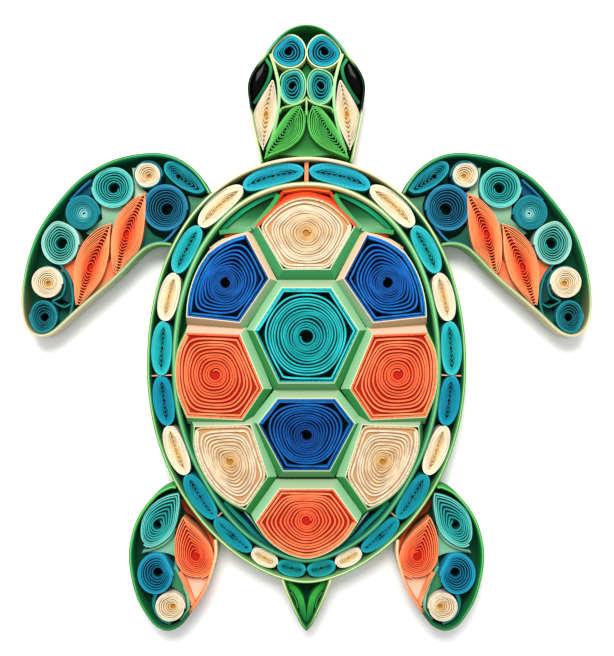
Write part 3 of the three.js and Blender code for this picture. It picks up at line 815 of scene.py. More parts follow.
# ---- Folds beside the tail scute ----
# A teal strip and a thin green one bend over a navy scrap in the corner between the tail scute and
# the shell's rim; the scrap's dark paper is painted shade there.
corner_teal = paper("corner_teal_paper", ["#0f7a5c", "#0a7a74", "#0a4a54"])
bent("tail_corner_strip", [(24.6, -52.6), (21.6, -56.0), (18.3, -59.3), (15.6, -62.2), (12.4, -64.9),
    (9.0, -67.0)], corner_teal, "paper_collar_green", 1.1, 7.0)
bent("tail_corner_edge", [(18.6, -55.4), (16.4, -58.2), (14.2, -61.3), (12.0, -63.8), (9.4, -66.1)],
    fold_foot, "paper_collar_green", 0.3, 7.4)
# Navy paper laid where the corner is in shade: painted shade.
filler("tail_corner_shade_floor", [(19.4, -55.6), (16.4, -57.4), (13.9, -61.0), (10.6, -64.2), (8.4, -66.4),
    (12.4, -64.6), (17.8, -59.4)], gap_shade_papers["blue"], "paper_collar_green", 5.4)


# ---- Border ----
# Ovals rolled from strip, pressed flat and glued end to end in the channel between the rims. Their
# outer turns are tight, and the inner ones fan out into a comb along a slit.
border_lengths = [18.9, 17.4, 15.6, 14.7, 16.2, 15, 15.6, 15.6, 14.4, 8.7, 8.7]
border_spacer = 1.2 * mm
border_gap = 0.15 * mm
border_strip = 0.24 * mm
shell_middle = -11.55 * mm
border_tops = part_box("border_ovals_right")[1].z
border_dyes = {
    "cyan": ("sea", ["#0c7f90", "#16a0b4", "#37c0d3"]),
    "cream": ("cream", {0: "#dcb878", 0.3: "#efdcb6", 1: "#f6ecd4"}),
    "teal": ("teal", ["#0a8a8c", "#1cb2b8", "#40c9d0"]),
    "blue": ("sea", ["#08708a", "#0e8ba5", "#18a4c0"]),
    "azure": ("sea", ["#08788c", "#0e8e9d", "#15a4b2"]),
    "jade": ("teal", ["#0a7a7a", "#0f9293", "#20b4b8"]),
}
border_looks = {colour: look(f"{colour}_border", deep, "paper_border_blue", stops, 20) for colour,
    (deep, stops) in border_dyes.items()}
border_order = ["cyan", "cream", "teal", "cream", "teal", "blue", "cream", "azure", "azure", "cream",
    "jade"]
inner_face = -inner_rim_face
channel = moved(shell_edge, -(rim_wall + inner_face) / 2)
channel = np.column_stack([channel, (inner_face - rim_wall - border_gap) / 2])
channel = channel[channel[:, 0] >= 0]
channel = channel[np.argsort(-np.arctan2(channel[:, 1] - shell_middle, channel[:, 0]))]
channel = np.vstack([[0, *channel[0, 1:]], channel, [0, *channel[-1, 1:]]])
channel_run = travelled(channel[:, :2])
chain_start = border_spacer / 2 + border_gap
length_share = (channel_run[-1] - chain_start - border_gap) / sum(border_lengths)


def on_channel(along, across):
    """Points by their distance along the channel from the head end, and across it outwards as a
    share of its half."""
    def place(distance, columns=(0, 1)):
        return np.array([np.interp(distance, channel_run, channel[:, column]) for column in columns])

    step = 0.5 * mm
    here = place(along)
    ahead = place(along + step) - place(along - step)
    ahead = ahead / np.linalg.norm(ahead, axis=0) * across * place(along, [2])[0]
    return np.column_stack([here[0] - ahead[1], here[1] + ahead[0]])


# An oval is somewhat squarer than an ellipse, whose power would be 2. The cream ones are wound tight
# and their slits are nearly closed.
oval_power = 2.3
short_oval = 12 * mm
oval_eye = 0.45 * mm
slit = {"cream": 0.02 * mm}
slit_depth = {"cream": 0.35 * mm}
at = chain_start
for number, (length, colour) in enumerate(zip(border_lengths, border_order), 1):
    size = length * length_share
    middle = at + size / 2
    at += size
    angle = np.linspace(0, 2 * math.pi, 72, endpoint=False)
    along = middle + size / 2 * np.sign(np.cos(angle)) * np.abs(np.cos(angle)) ** (2 / oval_power)
    across = np.sign(np.sin(angle)) * np.abs(np.sin(angle)) ** (2 / oval_power)
    wall = moved(anticlockwise(on_channel(along, across)), -border_strip / 2)
    eye = on_channel(np.array([middle]), np.array([0.0]))[0]
    tight = 4 if size < short_oval else 6.5
    path, bed = winding(wall, eye, oval_eye, 4, tight, border_strip + 0.05 * mm, wobble=0.02)
    dye, deep, plug, slot = border_looks[colour]
    strip(path, border_tops, border_strip)
    finished(f"border_oval_{number}", dye, slot, "border_ovals_right")
    # Each oval's plate is a darker shade of its paper and shows between its turns: painted shade in the
    # gaps.
    deep_level = border_tops - slit_depth.get(colour, 1.6 * mm)
    ring_plate(bed, eye, slit.get(colour, 0.3 * mm), deep_level)
    finished(f"border_oval_{number}_deep_strip", deep, slot, "border_ovals_right")

# The spacers stop just short of the rims: reach is a share of the channel's half.
reach = 0.98
peach_spacer = plain("peach_spacer_paper", "#f0b890")
for name, ovals, end in (("fifth", 5, reach), ("eighth", 8, 0.1)):
    along = chain_start + sum(border_lengths[:ovals]) * length_share
    across = on_channel(np.full(9, along), np.linspace(-reach, end, 9))
    strip(across, border_tops - 0.8 * mm, 0.3 * mm)
    finished(f"{name}_border_spacer", peach_spacer, "paper_coral", twin=True)
across = on_channel(np.zeros(9), np.linspace(-reach, reach, 9))
strip(across, border_tops - 0.3 * mm, border_spacer)
finished("head_end_border_spacer", plain("coral_spacer_paper", "#d88a60"), "paper_coral")


# ---- Limb rims ----
# A strip of plies bent round each flipper, the head and the tail, and butted to the shell. Each ply
# is dyed by place: dark along the leading edge, sage and sand along the trailing one.
def stretches(points, step, sharp=50):
    """An open smooth line through the points, which keeps its sharp corners."""
    bends = turned(points[1:-1] - points[:-2], points[2:] - points[1:-1])
    stops = [0, *(np.flatnonzero(bends > sharp) + 1), len(points) - 1]
    parts = [curve_through(points[a:b + 1], step) for a, b in zip(stops, stops[1:])]
    return np.vstack([part[:-1] for part in parts] + [parts[-1][-1:]])


def beside(path, distance):
    """An open line moved to its left by a distance, mitred at its corners."""
    way = np.diff(path, axis=0)
    way = way / lengths(way)[:, None]
    before, after = np.vstack([way[:1], way]), np.vstack([way, way[-1:]])
    out = np.column_stack([-before[:, 1] - after[:, 1], before[:, 0] + after[:, 0]])
    return path + out * distance / np.maximum(0.3, 1 + np.sum(before * after, axis=1))[:, None]


def outer_side(node):
    """The outer edge of a rim that ends at the shell, anticlockwise from one end to the other."""
    ring = loops(node)[0]
    gaps = np.array([lengths(shell_edge - p).min() for p in ring])
    ends = np.flatnonzero(gaps < 0.75 * mm)
    chains = [ring[np.arange(a, b + 1) % len(ring)] for a, b in zip(ends, [*ends[1:], ends[0] + len(ring)])]
    return stretches(max(chains, key=lambda chain: travelled(chain)[-1]), step=0.8 * mm)


def limb_rim(node, path, dyes, wall=rim_wall, span=None):
    """A limb's rim, from the dyes of its plies, the outer one first."""
    limb = node.split("_")[0]
    plies = [paper(f"{limb}_rim_{layer}_strip", stops, span=span) for layer, stops in dyes.items()]
    laminated(node, plies, "paper_rim_green", node, outer_lows, lambda depth: beside(path, depth),
        wall / len(plies))


front_edge = worn(outer_side("front_flipper_rim_right"), 2.2 * mm, closed=False)
# It swells a little along the leading edge, and draws in along the trailing one.
share = np.linspace(0, 1, len(front_edge))
swell = 0.7 * np.sin(math.pi * np.clip((share - 0.04) / 0.42, 0, 1))
swell = swell - 0.4 * np.sin(math.pi * np.clip((share - 0.55) / 0.4, 0, 1))
front_edge = moved(front_edge, swell * mm)
rear_edge = outer_side("rear_flipper_rim_right")
rim_play = 0.05 * mm
front_inside = moved(front_edge, -(rim_wall + rim_play))
rear_inside = moved(rear_edge, -(rim_wall + rim_play))
limb_rim("front_flipper_rim_right", front_edge, {
    "outer": {0: "#4f9a55", 0.1: "#8fae7c", 0.2: "#bcb894", 0.38: "#cfc4a0", 0.44: "#8fa468",
        0.5: "#1d7a42", 0.8: "#15703c", 1: "#0f6f5a"},
    "middle": {0: "#8fc47c", 0.15: "#c8cc9c", 0.38: "#e2d8b4", 0.44: "#a8c47c", 0.54: "#4fb45c",
        0.9: "#4fae58", 1: "#8fd060"},
    "inner": {0: "#3f8a50", 0.2: "#8a9268", 0.38: "#9a9a6c", 0.46: "#1f7a48", 0.7: "#127a50", 1: "#128058"},
})
limb_rim("rear_flipper_rim_right", rear_edge, {
    "outer": {0: "#e9c79a", 0.1: "#f4b98a", 0.22: "#f07a3c", 0.26: "#e8702f", 0.28: "#123a22",
        0.4: "#1a6f3a", 1: "#2f9a45"},
    "middle": {0: "#f4dcb0", 0.25: "#f9a066", 0.28: "#1d5a30", 0.45: "#3fa04a", 0.7: "#62c85a",
        1: "#7fd45f"},
    "inner": {0: "#f0a070", 0.25: "#f0703a", 0.28: "#124a2c", 0.6: "#167a45", 1: "#1d8a50"},
})


# ---- Flipper coils ----
# Round, oval and drop-shaped coils and pointed leaves, each wound and pinched on its own and glued
# in the flippers in a row along the leading edge, with the coral leaves along the trailing one.
def soften(ring, length):
    """A closed outline with its corners worn round over a length, at its old area."""
    round_ring = worn(ring, length)
    middle = round_ring.mean(axis=0)
    return middle + (round_ring - middle) * math.sqrt(area(ring) / area(round_ring))


def cast(start, way, ring):
    """How far it is from a point inside an outline to its edge."""
    side = np.roll(ring, -1, axis=0) - ring
    across = way[0] * side[:, 1] - way[1] * side[:, 0]
    across[across == 0] = 1e-12
    gap = ring - start
    distance = (gap[:, 0] * side[:, 1] - gap[:, 1] * side[:, 0]) / across
    share = (gap[:, 0] * way[1] - gap[:, 1] * way[0]) / across
    hit = (share >= -1e-6) & (share <= 1 + 1e-6) & (distance > 0)
    return distance[hit].min() if hit.any() else 0.0


def leaf_winding(wall, axis, eye, eye_radius, turns, comb):
    """The way of a strip pinched into a leaf, from the eye. Its turns lie packed along both sides and
    fold over in a comb along the middle; comb is half the comb's width."""
    spine = curve_through(np.array(axis) * mm, step=0.12 * mm)
    ways = np.gradient(spine, axis=0)
    ways = ways / lengths(ways)[:, None]
    rights = np.column_stack([ways[:, 1], -ways[:, 0]])
    middle = int(np.argmin(lengths(spine - eye)))
    level = travelled(spine)
    level = level - level[middle]
    left = np.where(level < 0, level / level[0], level / level[-1])
    combs = np.interp(left, [0, 0.35, 1], [eye_radius, comb, 0.4 * comb])
    widths = {side: np.array([cast(p, way, wall) for p, way in zip(spine, rights * side)])
        for side in (1, -1)}
    points = []
    for number in range(2 * turns):
        side = 1 if number % 2 == 0 else -1
        swing = np.linspace(-math.pi / 2, math.pi / 2, 23)
        share = (number + np.linspace(0, 0.9, 23)) / (2 * turns)
        reach = np.where(swing * side > 0, level[-1], -level[0])
        here = side * np.sin(swing) * (eye_radius + (reach - eye_radius) * (1 - share))
        end = np.interp(here, level, left)
        wide, half = np.interp(here, level, widths[side]), np.interp(here, level, combs)
        half = np.minimum(half, 0.6 * wide)
        packed = half + (wide - half) * (1 - np.clip(share / np.maximum(0.02, 1 - end), 0, 1))
        waist = widths[side][middle] - (widths[side][middle] - eye_radius) * share
        near_eye = np.clip((share - 0.45) / 0.5, 0, 1)
        lateral = packed * (1 - near_eye) + waist * np.cos(swing) * near_eye
        points += zip(here, side * lateral)
        fold = half[-1] * (1 - near_eye[-1])
        for turn in np.linspace(0.15, 0.85, 6):
            points.append((here[-1] + side * math.sin(math.pi * turn) * min(fold, 0.4 * mm),
                side * math.cos(math.pi * turn) * fold))
    points = np.array(points[::-1])
    level_here = np.clip(points[:, 0], level[0], level[-1])
    path = np.column_stack([np.interp(level_here, level, spine[:, axis]) + points[:,
        1] * np.interp(level_here, level, rights[:, axis]) for axis in (0, 1)])
    return path[np.concatenate([[True], lengths(np.diff(path, axis=0)) > 0.03 * mm])]


leaf_bed = 0.85


def leaf(node, points, axis, eye_radius, turns, made_of, thickness=0.24, comb=1.2, deep_by=1.0,
         limb=None):
    """A coil pinched into a leaf, through points, the first of which is its upper tip. axis gives its
    lower tip, its eye and its upper tip. All is in millimetres."""
    ring = np.array(points) * mm
    if area(ring) < 0:
        ring = np.vstack([ring[:1], ring[:0:-1]])
    wall = moved(held(smooth(ring, step=0.5 * mm, sharp=45), limb), -thickness * mm / 2)
    eye = np.array(axis[1]) * mm
    path = leaf_winding(wall, axis, eye, eye_radius * mm, turns, comb * mm)
    bed = eye + (wall - eye) * leaf_bed
    make_coil(node, path, bed, eye, eye_radius * mm, made_of, thickness, deep_by, slip=0.1)


def limb_coil(node, eye, eye_radius, turns, tight, made_of, points=None, nudge=(0, 0), **rest):
    """A round or oval coil in its node's outline, or a drop through points in millimetres."""
    if points:
        outline = smooth(anticlockwise(np.array(points) * mm), step=0.6 * mm, sharp=55)
    else:
        outline = soften(smooth(loops(node)[0], step=0.6 * mm, sharp=62), 1.1 * mm) + np.array(nudge) * mm
    coil(node, outline, eye, eye_radius, turns, tight, made_of, pointed=bool(points), **rest)


leaf_coral = look("coral_leaf", "coral", "paper_coral", {0: "#ea4a20", 0.15: "#f0683c", 0.4: "#f8884e",
    1: "#fc9c6a"}, 30)
drop_coral = look("coral_drop", "coral", "paper_coral", {0: "#ea4a26", 0.3: "#f66a3e", 0.7: "#fb7e4e",
    1: "#fd9a68"}, 30)
light_teal = look("light_teal", "teal", "paper_light_teal", {0: "#1f9490", 0.4: "#34aca6", 0.7: "#5cc4b8",
    1: "#78d0c2"})
mint_teal = look("mint_teal", "teal", "paper_light_teal", {0: "#2f9a90", 0.4: "#5cb4a6", 0.7: "#8ccebe",
    1: "#a8dacc"})
pool_blue = look("pool_blue", "pool", "paper_teal", {0: "#90d0cc", 0.08: "#3c9ca0", 0.3: "#147c86",
    0.8: "#147884", 1: "#1c8c98"}, 20)
deep_teal = look("deep_teal", "sea", "paper_teal", {0: "#0f5f68", 0.6: "#14737e", 1: "#23939f"})
sea_blue = look("sea_blue", "sea", "paper_sea_blue", ["#10526c", "#186c8c", "#2c88ac"])
rear_blue = look("rear_blue", "sea", "paper_sea_blue", ["#0c6482", "#1284a4", "#24a2c4"])
root_teal = look("root_teal", "sea", "paper_teal", ["#0a6570", "#0f8490", "#21a3b2"])
rolled_cream = look("rolled_cream", "cream", "paper_cream", {0: "#d0a45a", 0.05: "#e0c08c", 0.12: "#e8d4ae",
    1: "#f0e2c8"}, 30)
wrapped_cream = look("wrapped_cream", "cream", "paper_cream", {0: "#d0a45a", 0.05: "#e0c08c",
    0.12: "#e8d4ae", 0.74: "#f0e2c8", 0.75: "#0c6a78", 1: "#15808c"}, 30)
fine = dict(thickness=0.28, spacing=0.09, deep_by=0.5, slip=0.1)
open_coil = dict(deep_by=1.8, thickness=0.3)
inwards = (-0.25, -0.3)
open_nudged = dict(open_coil, nudge=inwards)
fine_nudged = dict(fine, nudge=inwards)
# A coil's eye and the eye's radius in millimetres, its loose and its tight turns, what it is made
# of, and the rest.
for node, *making, rest in [
    ("front_root_oval", (38.6, 45.4), 0.7, 5, 3, root_teal, open_coil),
    ("front_blue_coil", (42, 35.4), 1.65, 6, 3, sea_blue, open_coil),
    ("front_upper_cream_coil", (47.4, 45.45), 0.6, 4, 4, wrapped_cream, fine_nudged),
    ("front_upper_teal_coil", (58.05, 41.85), 1.5, 5, 3.5, light_teal, open_nudged),
    ("front_middle_teal_coil", (67.05, 34.2), 0.3, 6, 4, pool_blue, dict(deep_by=0.35, thickness=0.34,
     nudge=inwards)),
    ("front_lower_teal_coil", (73.8, 25.2), 1.6, 5, 3, mint_teal, open_nudged),
    ("front_lower_cream_coil", (77.7, 13.2), 0.7, 5, 4, rolled_cream, fine_nudged),
    ("front_tip_coil", (78.9, 2.85), 1.2, 4, 2.5, deep_teal, open_nudged),
    ("rear_teal_drop", (44.85, -59.55), 1.3, 5.5, 2, light_teal, dict(thickness=0.36, points=[(38.2, -49.5),
     (41.4, -50.1), (44.9, -51.7), (48.0, -54.4), (49.7, -57.6), (50.3, -60.9), (50.1, -63.8),
     (49.1, -65.5), (47.2, -66.2), (44.2, -65.2), (41.2, -62.9), (39.4, -59.9), (38.4, -55.6),
     (38.0, -52.2)])),
    ("rear_coral_drop", (33.3, -68.9), 1.3, 7, 2.5, drop_coral, dict(deep_by=0.8, thickness=0.34,
     points=[(37.3, -56.5), (38.4, -58.6), (39.5, -61.6), (40.1, -65.5), (39.8, -69.8), (38.5, -72.8),
     (36.6, -74.7), (33.9, -75.6), (31.1, -75.3), (28.7, -73.8), (27.7, -71.5), (27.9, -68.5),
     (29.2, -65.0), (32.2, -61.2), (35.6, -58.2)])),
    ("rear_blue_coil", (44.7, -73.95), 1.4, 5, 3, rear_blue, open_coil),
    ("rear_cream_coil", (40.2, -84), 0.7, 5, 3, rolled_cream, fine),
]:
    limb_coil(f"{node}_right", *making, **rest)
leaf("front_upper_coral_leaf_right", [(48.5, 40.6), (48.3, 36.9), (48.5, 32.6), (49.2, 27.0), (50.9, 21.5),
    (53.8, 17.9), (57.4, 14.8), (58.6, 19.1), (58.9, 24.0), (58.3, 30.2), (56.4, 34.4), (52.7, 38.5)],
    [(57.0, 16.2), (54.2, 28.2), (48.5, 40.6)], 0.9, 13, leaf_coral, limb=front_inside)
leaf("front_lower_coral_leaf_right", [(58.9, 31.5), (59.1, 28.3), (59.5, 21.5), (61.4, 14.8), (65.2, 9.4),
    (69.2, 5.2), (69.8, 9.2), (70.1, 15.4), (69.7, 19.7), (67.5, 25.2), (63.2, 29.8)], [(68.8, 6.6),
    (65.0, 18.2), (58.9, 31.5)], 0.9, 13, leaf_coral, limb=front_inside)


# ---- Flipper fillers ----
# Scraps of strip laid or bent between the coils hold them apart: pale green by the teal coils,
# orange by the corals and blue by the blue coil.
def scraps(limb, floors, strips):
    """Floors laid between a limb's coils, each with its level, and strips bent between them, each
    with its thickness and the level of its edge. All is in millimetres."""
    for name, points, dye, level in floors:
        filler(f"{name}_filler", points, dye, "paper_rim_green", level, limb=limb)
    for name, points, dye, slot, thickness, top in strips:
        bent(f"{name}_strip", points, dye, slot, thickness, top, limb=limb)


floor_pale = paper("pale_green_filler_paper", ["#1f6f50", "#7cac8c", "#a4c8a4"], span=(0.026, 0.040))
floor_dim = paper("dim_green_filler_paper", ["#0a4a3c", "#1a6048", "#4f8a68"], span=(0.022, 0.040))
floor_orange = paper("orange_filler_paper", ["#f4a878", "#e05a2c"], span=(0.006, 0.021))
floor_navy = plain("navy_filler_paper", "#0c4a66")
floor_bottle = paper("bottle_green_filler_paper", {0: "#2a8a58", 0.4: "#0f5a44", 1: "#083c3c"},
    span=(-0.003, 0.008))
front_floors = [
    ("front_upper_gap", [(62.5, 39.4), (58.3, 36.1), (54.8, 36.8), (57.8, 30.4), (61.0, 28.6), (64.3, 27.1),
     (66.8, 28.6), (61.9, 32.9)], floor_pale, 5.2),
    ("front_crest_gap", [(52.9, 48.4), (51.1, 48.4), (49.9, 42.4), (48.1, 40.6), (50.5, 38.2), (53.5, 35.9),
     (52.0, 41.2)], floor_pale, 5.0),
    ("front_root_gap", [(36.1, 40.0), (30.1, 38.9), (34.4, 32.2), (39.1, 26.2), (41.5, 26.2), (36.8, 31.6),
     (35.2, 36.8)], floor_dim, 4.6),
    ("front_armpit_gap", [(49.0, 31.6), (46.6, 28.3), (43.4, 26.8), (46.9, 24.4), (50.5, 22.6),
     (52.9, 16.6), (51.1, 23.8)], floor_dim, 4.8),
    ("front_crest_fold", [(71.0, 38.2), (66.8, 43.9), (62.5, 46.4), (63.8, 42.4), (68.0, 37.4)], floor_navy,
     5.0),
    ("front_leaf_gap", [(74.0, 19.1), (69.1, 20.8), (68.0, 17.8), (69.1, 11.2), (70.0, 7.6), (71.5, 12.8),
     (74.5, 16.6)], floor_orange, 5.4),
    ("front_trailing_gap", [(58.9, 21.4), (57.4, 14.8), (60.1, 11.2), (65.0, 8.2), (68.0, 5.5),
     (64.3, 11.8)], floor_orange, 5.4),
    ("front_tip_gap", [(74.5, 7.0), (70.3, 8.2), (70.3, 2.9), (72.1, -0.8), (75.1, -3.1), (75.1, 2.9)],
     floor_bottle, 4.4),
    ("front_cream_wrap", [(74.3, 17.2), (71.5, 15.4), (70.1, 11.7), (69.8, 8.0), (71.8, 7.4), (73.7, 8.6),
     (72.7, 11.7), (73.3, 14.8)], floor_bottle, 6.0),
]

azure_strip = paper("azure_bent_strip", ["#1a6a9a", "#2a86b0"])
teal_strip = paper("teal_bent_strip", ["#0f6a6c", "#147a74"])
scraps(front_inside, front_floors, [
    ("front_blue_bent", [(38.5, 30.8), (42.4, 26.4), (46.9, 24.2), (50.5, 22.0)], azure_strip,
     "paper_sea_blue", 0.6, 6.6),
    ("front_crest_bent", [(71.4, 38.4), (68.0, 41.9), (65.0, 44.6)], azure_strip, "paper_sea_blue", 0.5,
     6.6),
    ("front_long_loop", [(74.6, 19.4), (71.6, 15.0), (70.4, 8.8), (71.4, 3.6), (74.4, -1.4)], teal_strip,
     "paper_teal", 0.6, 6.9),
    ("front_cream_wrap", [(81.6, 16.6), (78.2, 18.4), (74.6, 17.0), (72.8, 13.2), (73.8, 9.6), (76.6, 8.0)],
     teal_strip, "paper_teal", 0.5, 6.9),
    ("front_tip_loop", [(76.6, 7.8), (73.0, 6.2), (71.0, 7.2)], teal_strip, "paper_teal", 0.4, 6.9),
])

floor_jade = paper("jade_filler_paper", {0: "#1f7048", 0.5: "#3f8a5c", 0.75: "#7cb898", 1: "#58a080"},
    span=(-0.085, -0.062))
floor_rust = paper("rust_filler_paper", {0: "#f0b48c", 0.25: "#d8582c", 0.6: "#a83210", 1: "#6c1c08"},
    span=(-0.070, -0.054))
floor_peach = paper("peach_filler_paper", {0: "#e89464", 0.4: "#f4cdb4", 0.8: "#f2b898", 1: "#d86a38"},
    span=(-0.085, -0.0745))
rear_floors = [
    ("rear_upper_gap", [(50.0, -68.4), (46.6, -67.2), (43.2, -65.6), (40.0, -61.6), (39.6, -66.0),
     (39.8, -69.4), (41.6, -68.6), (45.4, -68.0)], floor_jade, 5.2),
    ("rear_middle_gap", [(39.8, -69.6), (38.6, -73.6), (36.4, -78.0), (34.6, -83.0), (35.6, -87.0),
     (38.0, -89.0), (37.2, -85.0), (37.0, -81.6), (39.4, -79.6), (41.0, -78.6)], floor_jade, 4.8),
    ("rear_shell_gap", [(38.2, -51.8), (34.9, -53.5), (26.6, -66.8), (26.6, -71.5), (29.8, -63.1),
     (33.8, -57.8), (36.8, -55.4)], floor_rust, 5.4),
    ("rear_wedge_floor", [(38.2, -74.0), (36.8, -80.0), (33.4, -84.6), (29.8, -80.0), (27.0, -72.0),
     (30.1, -74.8), (34.4, -75.8)], floor_peach, 5.6),
]
wedge_coral = paper("wedge_coral_strip", ["#e88a5c", "#f07a48", "#f8a878"])
jade_strip = paper("jade_bent_strip", {0: "#5aa08c", 0.6: "#7cbc9c", 1: "#2f7a5c"})
scraps(rear_inside, rear_floors, [
    ("rear_wedge", [(38.2, -73.8), (36.5, -76.8), (34.7, -81.3), (33.8, -84.2)], wedge_coral, "paper_coral",
     1.2, 7.0),
    ("rear_upper_bent", [(49.4, -67.6), (46.6, -66.9), (43.6, -65.6), (41.0, -63.4), (39.6, -60.8)],
     jade_strip, "paper_teal", 0.5, 6.4),
    ("rear_lower_bent", [(39.6, -72.2), (37.9, -75.6), (36.2, -79.6), (35.6, -83.5), (36.0, -86.5),
     (37.4, -88.4)], jade_strip, "paper_teal", 0.8, 6.4),
    ("rear_blue_bent", [(45.2, -80.0), (46.0, -82.2), (45.7, -85.2), (43.7, -88.0), (41.0, -89.2)],
     teal_strip, "paper_sea_blue", 1.0, 6.6),
])


# ---- Head ----
# Four coils for brow and crown, a cream leaf for each cheek, two green leaves for the neck and the
# eyes, in a rim. Green strips bend round them down the face.
head_path = worn(outer_side("head_rim"), 2 * mm, closed=False)
# The rim bulges round the eyes.
bulge = 0.8 * mm * np.exp(-((head_path[:, 1] - 73 * mm) / (4.5 * mm)) ** 2)
head_path = head_path + np.column_stack([np.sign(head_path[:, 0]) * bulge, np.zeros(len(bulge))])
head_height = (0.050, 0.0911)
limb_rim("head_rim", head_path, {
    "outer": {0: "#8fc060", 0.05: "#efe0b4", 0.34: "#e4dca0", 0.38: "#04100a", 0.7: "#04100a",
        0.76: "#c8dc90", 0.81: "#2a9aa0", 0.92: "#2a9a90", 0.96: "#6cc060", 1: "#4fa845"},
    "inner": {0: "#6fb050", 0.34: "#4f9a40", 0.38: "#06180c", 0.68: "#0c3a1c", 0.76: "#9cd080",
        0.88: "#4fa868", 0.95: "#1c7434", 1: "#0f5a28"},
}, 0.6 * mm, head_height)

brow_blue = look("brow_blue", "sea", "paper_border_blue", ["#0f7c90", "#1492a8", "#18a6b8"], 16)
crown_teal = look("crown_teal", "sea", "paper_teal", {0: "#128088", 0.4: "#1c9490", 0.7: "#3cac94",
    1: "#7cc498"}, 16)
neck_green = look("neck_green", "green", "paper_leaf_green", ["#389040", "#48a846", "#5cc058"])
cheek_cream = look("cheek_cream", "gold", "paper_cream", {0: "#c4924c", 0.06: "#ccb890", 1: "#d6c8b2"})
for node, eye, eye_radius, tight, made_of, wrap in [
    ("brow_coil_right", (5.4, 83.1), 1.2, 3, brow_blue, plain("lime_cream_wrap_paper", "#dce6a8")),
    ("crown_coil_right", (4.35, 72.75), 1.0, 2.5, crown_teal, plain("mint_wrap_paper", "#9cd49c")),
]:
    limb_coil(node, eye, eye_radius, 3, tight, made_of, thickness=0.32, deep_by=1.4, lining=wrap)
leaf("cheek_coil_right", [(10.2, 74.9), (12.8, 70.9), (15.2, 66.6), (16.1, 64.0), (15.8, 60.9),
    (14.8, 57.0), (13.1, 53.5), (11.3, 56.6), (9.5, 60.9), (8.7, 65.3), (8.8, 69.6), (9.5, 73.6)],
    [(13.1, 53.5), (12.1, 64.0), (10.2, 74.9)], 0.6, 8, cheek_cream, comb=0.55, deep_by=0.6, thickness=0.38)
leaf("neck_leaf_right", [(1.9, 66.6), (0.3, 65.2), (0.2, 61.8), (1.1, 57.9), (3.7, 54.8), (7.6, 52.7),
    (12.6, 50.9), (11.9, 54.0), (10.2, 57.5), (8.9, 60.1), (6.3, 64.0), (3.7, 66.6)], [(12.6, 50.9),
    (6.4, 59.6), (1.9, 66.6)], 0.4, 10, neck_green, comb=0.9, deep_by=3, thickness=0.32)

face_green = paper("face_green_strip", ["#c0dc98", "#9cd090", "#58a850"])
lid_green = paper("emerald_lid_strip", ["#2a9458", "#0a6a3c", "#0a5a38"])
stem_green = paper("stem_green_strip", ["#a4cc80", "#6ab060"])
bent("face_strip", [(10.9, 82.4), (9.6, 78.5), (8.5, 73.6), (8.3, 68.2), (9.0, 62.8), (10.2, 57.8),
    (11.8, 53.4)], face_green, "paper_leaf_green", 0.85)
bent("lid_strip", [(12.2, 80.8), (10.8, 78.2), (11.3, 75.0), (13.1, 71.4), (15.8, 67.4)], lid_green,
    "paper_leaf_green", 0.9, 7.4)
bent("face_stem_strip", [(0, 69.4), (0, 64.0)], stem_green, "paper_leaf_green", 0.6, twin=False)
bent("face_arm_strip", [(0.2, 68.8), (2.6, 67.4), (5.5, 66.6), (7.4, 66.0), (8.2, 64.6)], stem_green,
    "paper_leaf_green", 0.5)
bent("neck_side_strip", [(0.3, 65.3), (0.7, 60.1), (2.1, 57.0), (5.6, 54.2), (9.8, 52.6)], neck_green[0],
    "paper_leaf_green", 0.4, 7.0)
chin_green = paper("chin_green_filler_paper", {0: "#4c9850", 0.3: "#267030", 1: "#0a3c1a"},
    span=(0.0515, 0.062))
filler("chin_filler", [(0, 62.9), (-3.2, 56.3), (-8.3, 52.7), (0, 51.8), (8.3, 52.7), (3.2, 56.3)],
    chin_green, "paper_leaf_green", 5.0, twin=False)
brow_floor = paper("brow_floor_paper", ["#0a4020", "#1a7a34", "#0a4a24"], span=(0.0695, 0.081))
filler("brow_filler", [(0, 80.3), (-2.9, 75.8), (0, 69.5), (2.9, 75.8)], brow_floor, "paper_leaf_green",
    4.4, twin=False)


# ---- Eyes ----
# Each eye is a pointed drop of black lacquer on a leaf of card, domed and polished, so that it
# mirrors the lamp.
def lacquer(name, colour):
    """Black nail lacquer, flowed out smooth: almost no colour and a wet gloss."""
    material = bpy.data.materials.new(name)
    material.use_nodes = True
    tree = material.node_tree
    shader = tree.nodes["Principled BSDF"]
    shader.inputs["Base Color"].default_value = linear(colour)
    shader.inputs["Roughness"].default_value = 0.09
    shader.inputs["Specular IOR Level"].default_value = 0.07
    shader.inputs["IOR"].default_value = 1.5
    place = add(tree, "TexCoord").outputs["Object"]
    # The lacquer pulls into waves about two millimetres long as it dries.
    wave = add(tree, "TexNoise", {"Vector": place, "Scale": 1 / (2 * mm), "Detail": 1.0})
    bump = add(tree, "Bump", {"Height": wave.outputs["Fac"], "Strength": 0.05, "Distance": 0.05 * mm})
    tree.links.new(bump.outputs[0], shader.inputs["Normal"])
    return material


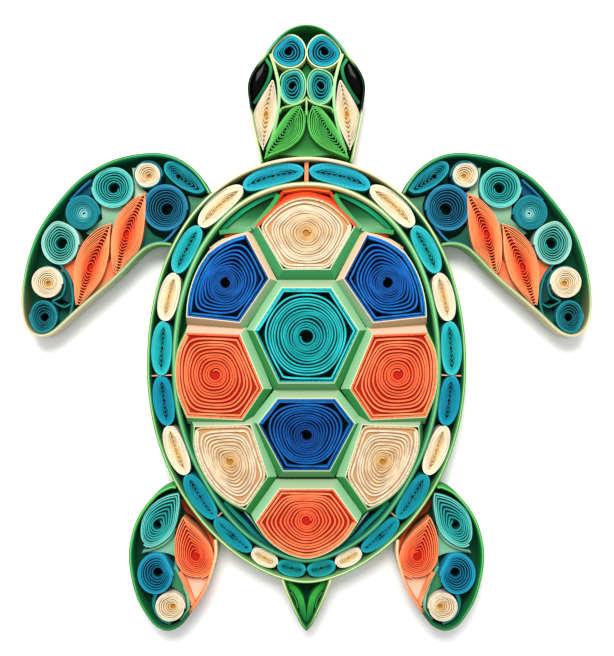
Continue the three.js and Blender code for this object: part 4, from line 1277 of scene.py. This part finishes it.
def dome(points, bottom, edge, top):
    """A domed drop over an outline: straight sides to an edge, then rounded over to a top."""
    ring = smooth(anticlockwise(np.array(points) * mm), step=0.5 * mm, sharp=80)
    middle = ring.mean(axis=0)
    lay_ring(ring, bottom)
    drawn_out(lambda at: (at.x, at.y, edge))
    before = 1
    for angle in np.linspace(0, 0.47 * math.pi, 7)[1:]:
        share = math.cos(angle)
        level = edge + (top - edge) * math.sin(angle)
        drawn_out(lambda at: (*(middle + (np.array(at[:2]) - middle) * share / before), level), None)
        before = share
    with editing(None):
        bpy.ops.mesh.edge_face_add()
        bpy.ops.mesh.select_all(action="DESELECT")
    for vertex in bpy.context.object.data.vertices:
        vertex.select = vertex.co.z <= bottom + 1e-7
    with editing(None):
        bpy.ops.mesh.edge_face_add()
    face_out()
    bpy.ops.object.shade_smooth_by_angle(angle=math.radians(40))


dome([(12.6, 80.6), (15.6, 78.0), (17.2, 73.6), (17.1, 70.4), (16.2, 68.4), (14.0, 71.2), (12.3, 74.8),
    (11.6, 77.6), (11.8, 79.8)], card_top, 6.4 * mm, 7.6 * mm)
finished("eye", lacquer("black_lacquer", "#020202"), "lacquer_black", "eye_right")


# ---- Tail ----
# A rim folded to a point. Inside lie green strips glued face to face, in two fans that start beside
# the shell and bend down to meet in the point.
tail_edge = outer_side("tail_rim")
limb_rim("tail_rim", tail_edge, {
    "outer": {0: "#c9c58a", 0.35: "#4f8a4a", 0.5: "#1f5a2c", 0.65: "#4f8a4a", 1: "#c9c58a"},
    "middle": {0: "#d9dba0", 0.3: "#b8d884", 0.5: "#3f8a3f", 0.7: "#b8d884", 1: "#d9dba0"},
    "inner": ["#3f8a4a", "#1f6a30", "#3f8a4a"],
})
band_green = paper("tail_band_paper", ["#1f7a28", "#34a840", "#0f6a34"])
band_path = curve_through(np.array([(5.0, -75.6), (4.3, -77.1), (2.6, -78.8), (1.1, -81.3), (0.36, -84.2),
    (0.06, -87.2), (0.06, -90.0)]) * mm, step=0.4 * mm)
tail_inside = moved(np.vstack([tail_edge, [[0, -66 * mm]]]), -(rim_wall + 0.2 * mm))
band_pitch = 0.36 * mm
band_strip = 0.33 * mm
band_top = 6.8 * mm
band_drop = 0.06 * mm
band_dyes = [band_green] * 5 + [plain("dark_tail_paper", "#0a3014"), plain("tail_fold_paper", "#4a9048")]
for number, dye in enumerate(band_dyes):
    path = beside(band_path, band_pitch * (number + 0.5))
    path = path[within(path, tail_inside) & ~within(path, shell_edge)]
    strip(path, band_top - band_drop * number, band_strip)
    finished(f"tail_band_ply_{number + 1}", dye, "paper_leaf_green", "tail_leaves", twin=True)
